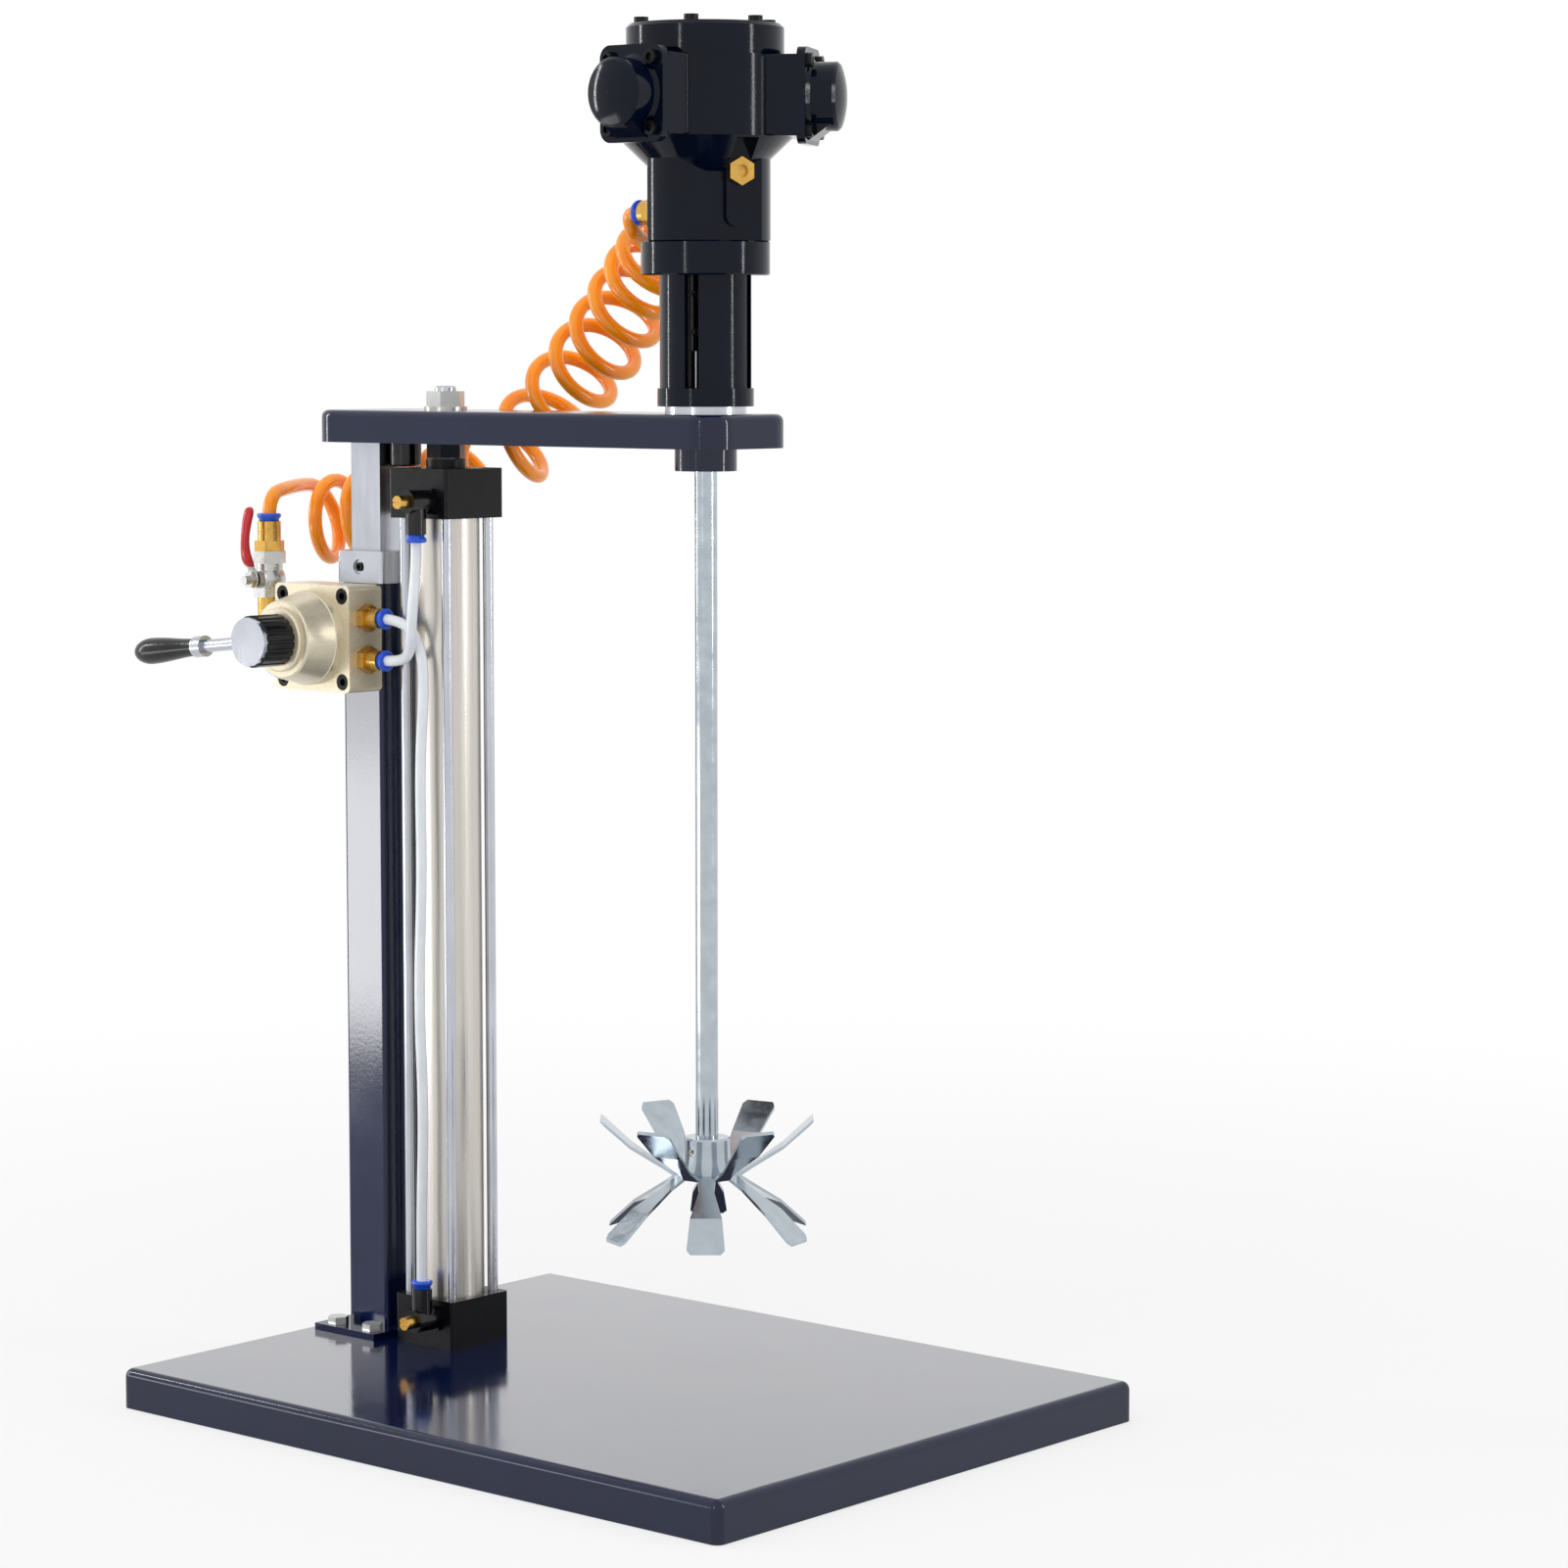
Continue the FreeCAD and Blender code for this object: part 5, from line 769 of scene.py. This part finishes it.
# %% Bronze
tree = new_finish("bronze")
place = add(tree, "ShaderNodeTexCoord").outputs["Object"]
pores = add(tree, "ShaderNodeTexVoronoi", {"Vector": place, "Scale": 1 / (0.5 * MM)})
tint = add(tree, "ShaderNodeMix", {
    SHARE: pores.outputs["Distance"], FROM: linear("5f4526"), TO: linear("a87a42")}, data_type="RGBA")
pits = add(tree, "ShaderNodeBump", {
    "Height": pores.outputs["Distance"], "Strength": 0.3, "Distance": 0.1 * MM})
metal = add(tree, "ShaderNodeBsdfPrincipled", {
    "Base Color": tint.outputs[MIXED], "Metallic": 1.0, "Roughness": 0.45,
    "Normal": pits.outputs["Normal"]})
add(tree, "ShaderNodeOutputMaterial", {"Surface": metal.outputs["BSDF"]})
print("bronze nodes:", len(tree.nodes))

# %% [markdown]
# ## Black plastic: moulded phenolic resin
#
# The lever's grip and knob are phenolic resin, moulded and shiny. The flow of the resin leaves patches
# of about seven millimetres, some shinier than others. The specks of its filler are drawn 0.6 mm
# across, coarser than real ones, so that they show.

# %% Black plastic
tree = new_finish("black_plastic")
place = add(tree, "ShaderNodeTexCoord").outputs["Object"]
flow = add(tree, "ShaderNodeTexNoise", {"Vector": place, "Scale": 1 / (7.0 * MM), "Detail": 3.0})
speck = add(tree, "ShaderNodeTexNoise", {"Vector": place, "Scale": 1 / (0.6 * MM), "Detail": 2.0})
skin = add(tree, "ShaderNodeBump", {
    "Height": speck.outputs["Fac"], "Strength": 0.08, "Distance": 0.1 * MM})
tint = add(tree, "ShaderNodeMix", {
    SHARE: flow.outputs["Fac"], FROM: linear("050608"), TO: linear("0c0d11")}, data_type="RGBA")
dullness = add(tree, "ShaderNodeMapRange", {
    "Value": flow.outputs["Fac"], **NOISE_RANGE, "To Min": 0.12, "To Max": 0.26})
resin = add(tree, "ShaderNodeBsdfPrincipled", {
    "Base Color": tint.outputs[MIXED], "Roughness": dullness.outputs["Result"], "IOR": 1.5,
    "Specular IOR Level": 0.4, "Normal": skin.outputs["Normal"]})
add(tree, "ShaderNodeOutputMaterial", {"Surface": resin.outputs["BSDF"]})
print("black plastic nodes:", len(tree.nodes))

# %% [markdown]
# ## Blue plastic: moulded acetal
#
# The release collars are acetal, smooth with faint flow marks of three millimetres. A little light
# goes into it and comes back softer.

# %% Blue plastic
tree = new_finish("blue_plastic")
place = add(tree, "ShaderNodeTexCoord").outputs["Object"]
flow = add(tree, "ShaderNodeTexNoise", {"Vector": place, "Scale": 1 / (3.0 * MM), "Detail": 3.0})
tint = add(tree, "ShaderNodeMix", {
    SHARE: flow.outputs["Fac"], FROM: linear("1546c4"), TO: linear("2b66ee")}, data_type="RGBA")
skin = add(tree, "ShaderNodeBump", {
    "Height": flow.outputs["Fac"], "Strength": 0.08, "Distance": 0.1 * MM})
acetal = add(tree, "ShaderNodeBsdfPrincipled", {
    "Base Color": tint.outputs[MIXED], "Roughness": 0.28, "IOR": 1.48, "Subsurface Weight": 0.1,
    "Subsurface Scale": 1.0 * MM, "Normal": skin.outputs["Normal"]})
add(tree, "ShaderNodeOutputMaterial", {"Surface": acetal.outputs["BSDF"]})
print("blue plastic nodes:", len(tree.nodes))

# %% [markdown]
# ## Red vinyl: a dipped sleeve
#
# The ball valve's lever wears a sleeve that was dipped in liquid vinyl. The skin set while it ran, so
# it is glossy and wavy at about four millimetres.

# %% Red vinyl
tree = new_finish("red_vinyl")
place = add(tree, "ShaderNodeTexCoord").outputs["Object"]
dip = add(tree, "ShaderNodeTexNoise", {"Vector": place, "Scale": 1 / (4.0 * MM), "Detail": 3.0})
tint = add(tree, "ShaderNodeMix", {
    SHARE: dip.outputs["Fac"], FROM: linear("a8040f"), TO: linear("d2101d")}, data_type="RGBA")
skin = add(tree, "ShaderNodeBump", {"Height": dip.outputs["Fac"], "Strength": 0.2, "Distance": 0.4 * MM})
vinyl = add(tree, "ShaderNodeBsdfPrincipled", {
    "Base Color": tint.outputs[MIXED], "Roughness": 0.24, "IOR": 1.53, "Normal": skin.outputs["Normal"]})
add(tree, "ShaderNodeOutputMaterial", {"Surface": vinyl.outputs["BSDF"]})
print("red vinyl nodes:", len(tree.nodes))

# %% [markdown]
# ## Seal rubber: nitrile
#
# The seals are matt nitrile rubber, with a grey bloom in spots of about two millimetres.

# %% Seal rubber
tree = new_finish("seal_rubber")
place = add(tree, "ShaderNodeTexCoord").outputs["Object"]
bloom = add(tree, "ShaderNodeTexNoise", {"Vector": place, "Scale": 1 / (2.0 * MM), "Detail": 4.0})
tint = add(tree, "ShaderNodeMix", {
    SHARE: bloom.outputs["Fac"], FROM: linear("0c0c0e"), TO: linear("1b1b1e")}, data_type="RGBA")
skin = add(tree, "ShaderNodeBump", {
    "Height": bloom.outputs["Fac"], "Strength": 0.2, "Distance": 0.2 * MM})
nitrile = add(tree, "ShaderNodeBsdfPrincipled", {
    "Base Color": tint.outputs[MIXED], "Roughness": 0.6, "IOR": 1.52, "Normal": skin.outputs["Normal"]})
add(tree, "ShaderNodeOutputMaterial", {"Surface": nitrile.outputs["BSDF"]})
print("seal rubber nodes:", len(tree.nodes))

# %% [markdown]
# ## Orange hose: clear-dyed polyurethane
#
# The hose is extruded from dyed polyurethane that lets a little light through, so that its edges glow
# and its shine is yellow-orange. The extruder's die leaves very fine lines along the hose. They follow
# it round every turn, so this pattern reads the hose's own UV map, with the distance along it in
# metres and the share of the way around. Its scales count per metre and per turn around: 40 around
# make lines 0.6 mm wide, coarser than real ones, so that they show.

# %% Orange hose
tree = new_finish("orange_hose")
unrolled = add(tree, "ShaderNodeUVMap", uv_map="along").outputs["UV"]
lengthwise = add(tree, "ShaderNodeMapping", {"Vector": unrolled, "Scale": (6.0, 40.0, 1.0)})
die = add(tree, "ShaderNodeTexNoise", {
    "Vector": lengthwise.outputs["Vector"], "Scale": 1.0, "Detail": 3.0})
slow = add(tree, "ShaderNodeMapping", {"Vector": unrolled, "Scale": (60.0, 2.0, 1.0)})
melt = add(tree, "ShaderNodeTexNoise", {"Vector": slow.outputs["Vector"], "Scale": 1.0, "Detail": 2.0})
tint = add(tree, "ShaderNodeMix", {
    SHARE: melt.outputs["Fac"], FROM: linear("ff7d00"), TO: linear("ffab14")}, data_type="RGBA")
lines = add(tree, "ShaderNodeBump", {
    "Height": die.outputs["Fac"], "Strength": 0.06, "Distance": 0.1 * MM})
urethane = add(tree, "ShaderNodeBsdfPrincipled", {
    "Base Color": tint.outputs[MIXED], "Roughness": 0.16, "IOR": 1.5,
    "Subsurface Weight": 0.35, "Subsurface Radius": (1.0, 0.45, 0.1), "Subsurface Scale": 3.0 * MM,
    "Normal": lines.outputs["Normal"]})
add(tree, "ShaderNodeOutputMaterial", {"Surface": urethane.outputs["BSDF"]})
print("orange hose nodes:", len(tree.nodes))

# %% [markdown]
# ## Milky tube: natural nylon
#
# Undyed nylon tube is cloudy: light goes in, scatters and comes out again. Subsurface scattering with
# a short radius gives that look, and a little gloss sits on top. Its haze changes every centimetre.

# %% Milky tube
tree = new_finish("milky_tube")
unrolled = add(tree, "ShaderNodeUVMap", uv_map="along").outputs["UV"]
slow = add(tree, "ShaderNodeMapping", {"Vector": unrolled, "Scale": (80.0, 3.0, 1.0)})
haze = add(tree, "ShaderNodeTexNoise", {"Vector": slow.outputs["Vector"], "Scale": 1.0, "Detail": 3.0})
tint = add(tree, "ShaderNodeMix", {
    SHARE: haze.outputs["Fac"], FROM: linear("dde3ea"), TO: linear("f3f5f6")}, data_type="RGBA")
skin = add(tree, "ShaderNodeBump", {
    "Height": haze.outputs["Fac"], "Strength": 0.05, "Distance": 0.1 * MM})
nylon = add(tree, "ShaderNodeBsdfPrincipled", {
    "Base Color": tint.outputs[MIXED], "Roughness": 0.25, "IOR": 1.53,
    "Subsurface Weight": 0.5, "Subsurface Radius": (0.9, 1.0, 1.0), "Subsurface Scale": 2.0 * MM,
    "Normal": skin.outputs["Normal"]})
add(tree, "ShaderNodeOutputMaterial", {"Surface": nylon.outputs["BSDF"]})
print("finishes:", sorted(finishes))

# %% [markdown]
# ## Dressing the CAD nodes
#
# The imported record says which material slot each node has. Every CAD node gets the finish with that
# name in its own material slots, and every new piece gets the finish of the slot it was given. Three
# nodes in the zinc slot look different in the picture: the nuts on the piston rod have two tones, the
# socket screws are blackened, and the lever's disc and rod are polished steel.

# %% Finishes onto nodes and pieces
SEEN_OTHERWISE = {"rod_nuts": "rod_nuts_two_tone", "socket_screws": "anodised_black",
                  "lever_rod": "bright_steel"}
slot_of = {row["node"]: row["material_slot"] for row in frame["record"]["subparts"]}
for node_name, node_object in frame["nodes"].items():
    node_object.data.materials.clear()
    node_object.data.materials.append(finishes[SEEN_OTHERWISE.get(node_name, slot_of[node_name])])
for piece in bpy.context.scene.objects:
    if "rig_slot" in piece:
        piece.data.materials.clear()
        piece.data.materials.append(finishes[piece["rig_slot"]])
print("nodes dressed:", len(frame["nodes"]))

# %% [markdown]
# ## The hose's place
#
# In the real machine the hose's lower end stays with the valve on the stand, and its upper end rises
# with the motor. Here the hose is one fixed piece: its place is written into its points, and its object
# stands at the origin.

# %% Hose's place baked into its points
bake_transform(hose)
print("hose vertices:", len(hose.data.vertices))

# %% [markdown]
# ## Floor
#
# The photograph was taken in a white studio and cut out. Rays from the camera, and rays that metal or
# glass sends on, meet plain white, so that the steel mirrors the studio that is seen around it. The
# floor glows less near the object than far from it: there it keeps the shadow, and the horizon
# disappears.

# %% Floor
FLOOR_HALF = 6.0
FLOOR_CELLS = 8
FLOOR_HEIGHT = -0.5 * MM  # a little lower than the base, so that the two faces don't mix
FULL_SHADOW_TO = 0.35  # metres from the middle of the base
PLAIN_WHITE_FROM = 1.6
GLOW_IN_SHADOW = 0.72


def flat_sheet(name, half, cells, height):
    """A square grid of points at one height, from minus half to plus half both ways."""
    across = cells + 1
    steps = np.linspace(-half, half, across)
    x, y = np.meshgrid(steps, steps, indexing="ij")
    points = np.stack([x, y, np.full_like(x, height)], axis=-1).reshape(-1, 3)
    i, j = np.meshgrid(np.arange(cells), np.arange(cells), indexing="ij")
    corner = (i * across + j).ravel()
    quads = np.stack([corner, corner + across, corner + across + 1, corner + 1], axis=1)
    mesh = bpy.data.meshes.new(name)
    mesh.from_pydata(points.tolist(), [], quads.tolist())
    mesh.update()
    return into_scene(name, mesh)


def sees_white(tree):
    """1 for a ray from the camera, from a gloss or through glass, and 0 for scattered light."""
    rays = add(tree, "ShaderNodeLightPath").outputs
    shiny = add(tree, "ShaderNodeMath", {0: rays["Is Glossy Ray"], 1: rays["Is Transmission Ray"]},
                operation="MAXIMUM")
    either = add(tree, "ShaderNodeMath", {0: shiny.outputs["Value"], 1: rays["Is Camera Ray"]},
                 operation="MAXIMUM")
    return either.outputs["Value"]


floor = flat_sheet("studio_floor", FLOOR_HALF, FLOOR_CELLS, FLOOR_HEIGHT)
tree = new_finish("studio_floor")
place = add(tree, "ShaderNodeTexCoord").outputs["Object"]
away = add(tree, "ShaderNodeVectorMath", {0: place}, operation="LENGTH")
fade = add(tree, "ShaderNodeMapRange", {
    "Value": away.outputs["Value"], "From Min": FULL_SHADOW_TO, "From Max": PLAIN_WHITE_FROM,
    "To Min": GLOW_IN_SHADOW, "To Max": 1.0}, interpolation_type="SMOOTHSTEP")
seen = add(tree, "ShaderNodeMath", {0: sees_white(tree), 1: fade.outputs["Result"]}, operation="MULTIPLY")
paper = add(tree, "ShaderNodeBsdfDiffuse", {"Color": linear("dcdcde")})
glow = add(tree, "ShaderNodeEmission", {"Color": linear("ffffff"), "Strength": 1.0})
both = add(tree, "ShaderNodeMixShader", {
    0: seen.outputs["Value"], 1: paper.outputs["BSDF"], 2: glow.outputs["Emission"]})
add(tree, "ShaderNodeOutputMaterial", {"Surface": both.outputs["Shader"]})
floor.data.materials.append(finishes["studio_floor"])
print("floor half side in metres:", FLOOR_HALF)

# %% [markdown]
# ## World
#
# The same rays meet plain white in the world. Only the scattered light, which shades the pieces, comes
# from a softer and darker room that is brighter overhead than at the horizon.

# %% World
ROOM_AT_HORIZON = 0.45
ROOM_OVERHEAD = 0.85
OVERHEAD_FROM = 0.8  # upward part of a direction, 0 at the horizon and 1 straight up

world = bpy.data.worlds.new("studio")
world.use_nodes = True
bpy.context.scene.world = world
tree = world.node_tree
tree.nodes.clear()
direction = add(tree, "ShaderNodeTexCoord").outputs["Generated"]
upward = add(tree, "ShaderNodeSeparateXYZ", {"Vector": direction}).outputs["Z"]
room = add(tree, "ShaderNodeMapRange", {
    "Value": upward, "From Min": 0.0, "From Max": OVERHEAD_FROM,
    "To Min": ROOM_AT_HORIZON, "To Max": ROOM_OVERHEAD})
# the sockets 2 and 3 are the Mix node's plain numbers
level = add(tree, "ShaderNodeMix", {SHARE: sees_white(tree), 2: room.outputs["Result"], 3: 1.0},
            data_type="FLOAT")
sky = add(tree, "ShaderNodeBackground", {"Color": linear("ffffff"), "Strength": level.outputs[0]})
add(tree, "ShaderNodeOutputWorld", {"Surface": sky.outputs["Background"]})
print("world nodes:", len(tree.nodes))

# %% [markdown]
# ## Lamps
#
# A low lamp stands where the column's face mirrors it. Enamel sends back only a few hundredths of the
# light, so the sheen that the photograph has on the column and on the base takes two brighter lamps,
# each linked to that node alone: steel in the same light would clip. Three narrow strips draw upright
# highlights on the black motor. The large lamp overhead only adds soft light: polished steel would
# mirror it on top of the white room and clip too, so gloss doesn't see it.

# %% Lamps
LAMPS = {
    # name: position, aimed at, width, height, power in watts, mirrored in shiny surfaces, its only node
    "low_left": ((-0.967, -0.937, 0.13), (-0.186, -0.034, 0.13), 0.8, 0.22, 2.2, True, None),
    "column_sheen": ((-0.941, -0.907, 0.165), (-0.186, -0.034, 0.165), 0.8, 0.33, 9.0, True, "column"),
    "base_sheen": ((-1.4, 1.4, 0.55), (0.0, 0.0, 0.04), 2.2, 0.9, 4.4, True, "base_tray"),
    "strip_left": ((-1.9, -0.9, 0.95), (0.0, 0.0, 0.6), 0.09, 1.3, 9.0, True, None),
    "strip_front": ((0.25, -2.1, 1.1), (0.0, 0.0, 0.6), 0.07, 1.2, 4.0, True, None),
    "strip_right": ((1.9, 0.75, 0.95), (0.0, 0.0, 0.6), 0.12, 1.3, 8.0, True, None),
    "overhead": ((0.1, -0.5, 2.2), (0.0, 0.0, 0.3), 1.6, 1.6, 12.0, False, None),
}
STEEP = 0.95  # a lamp that looks down more steeply than this takes its across from y, not from z

for lamp_name, (spot, target, width, tall, power, mirrored, only_node) in LAMPS.items():
    light = bpy.data.lights.new(lamp_name, "AREA")
    light.shape = "RECTANGLE"
    light.size, light.size_y, light.energy = width, tall, power
    back = np.array(spot) - np.array(target)
    back /= np.linalg.norm(back)
    across = np.cross([0.0, 1.0, 0.0] if back[2] > STEEP else [0.0, 0.0, 1.0], back)
    lamp = into_scene(lamp_name, light)
    aim(lamp, across / np.linalg.norm(across), back, spot)
    lamp.visible_glossy = mirrored
    if only_node:
        lit = bpy.data.collections.new(lamp_name)
        lit.objects.link(frame["nodes"][only_node])
        lamp.light_linking.receiver_collection = lit
bpy.context.scene.view_settings.view_transform = "Standard"
print("lamps:", ", ".join(LAMPS))
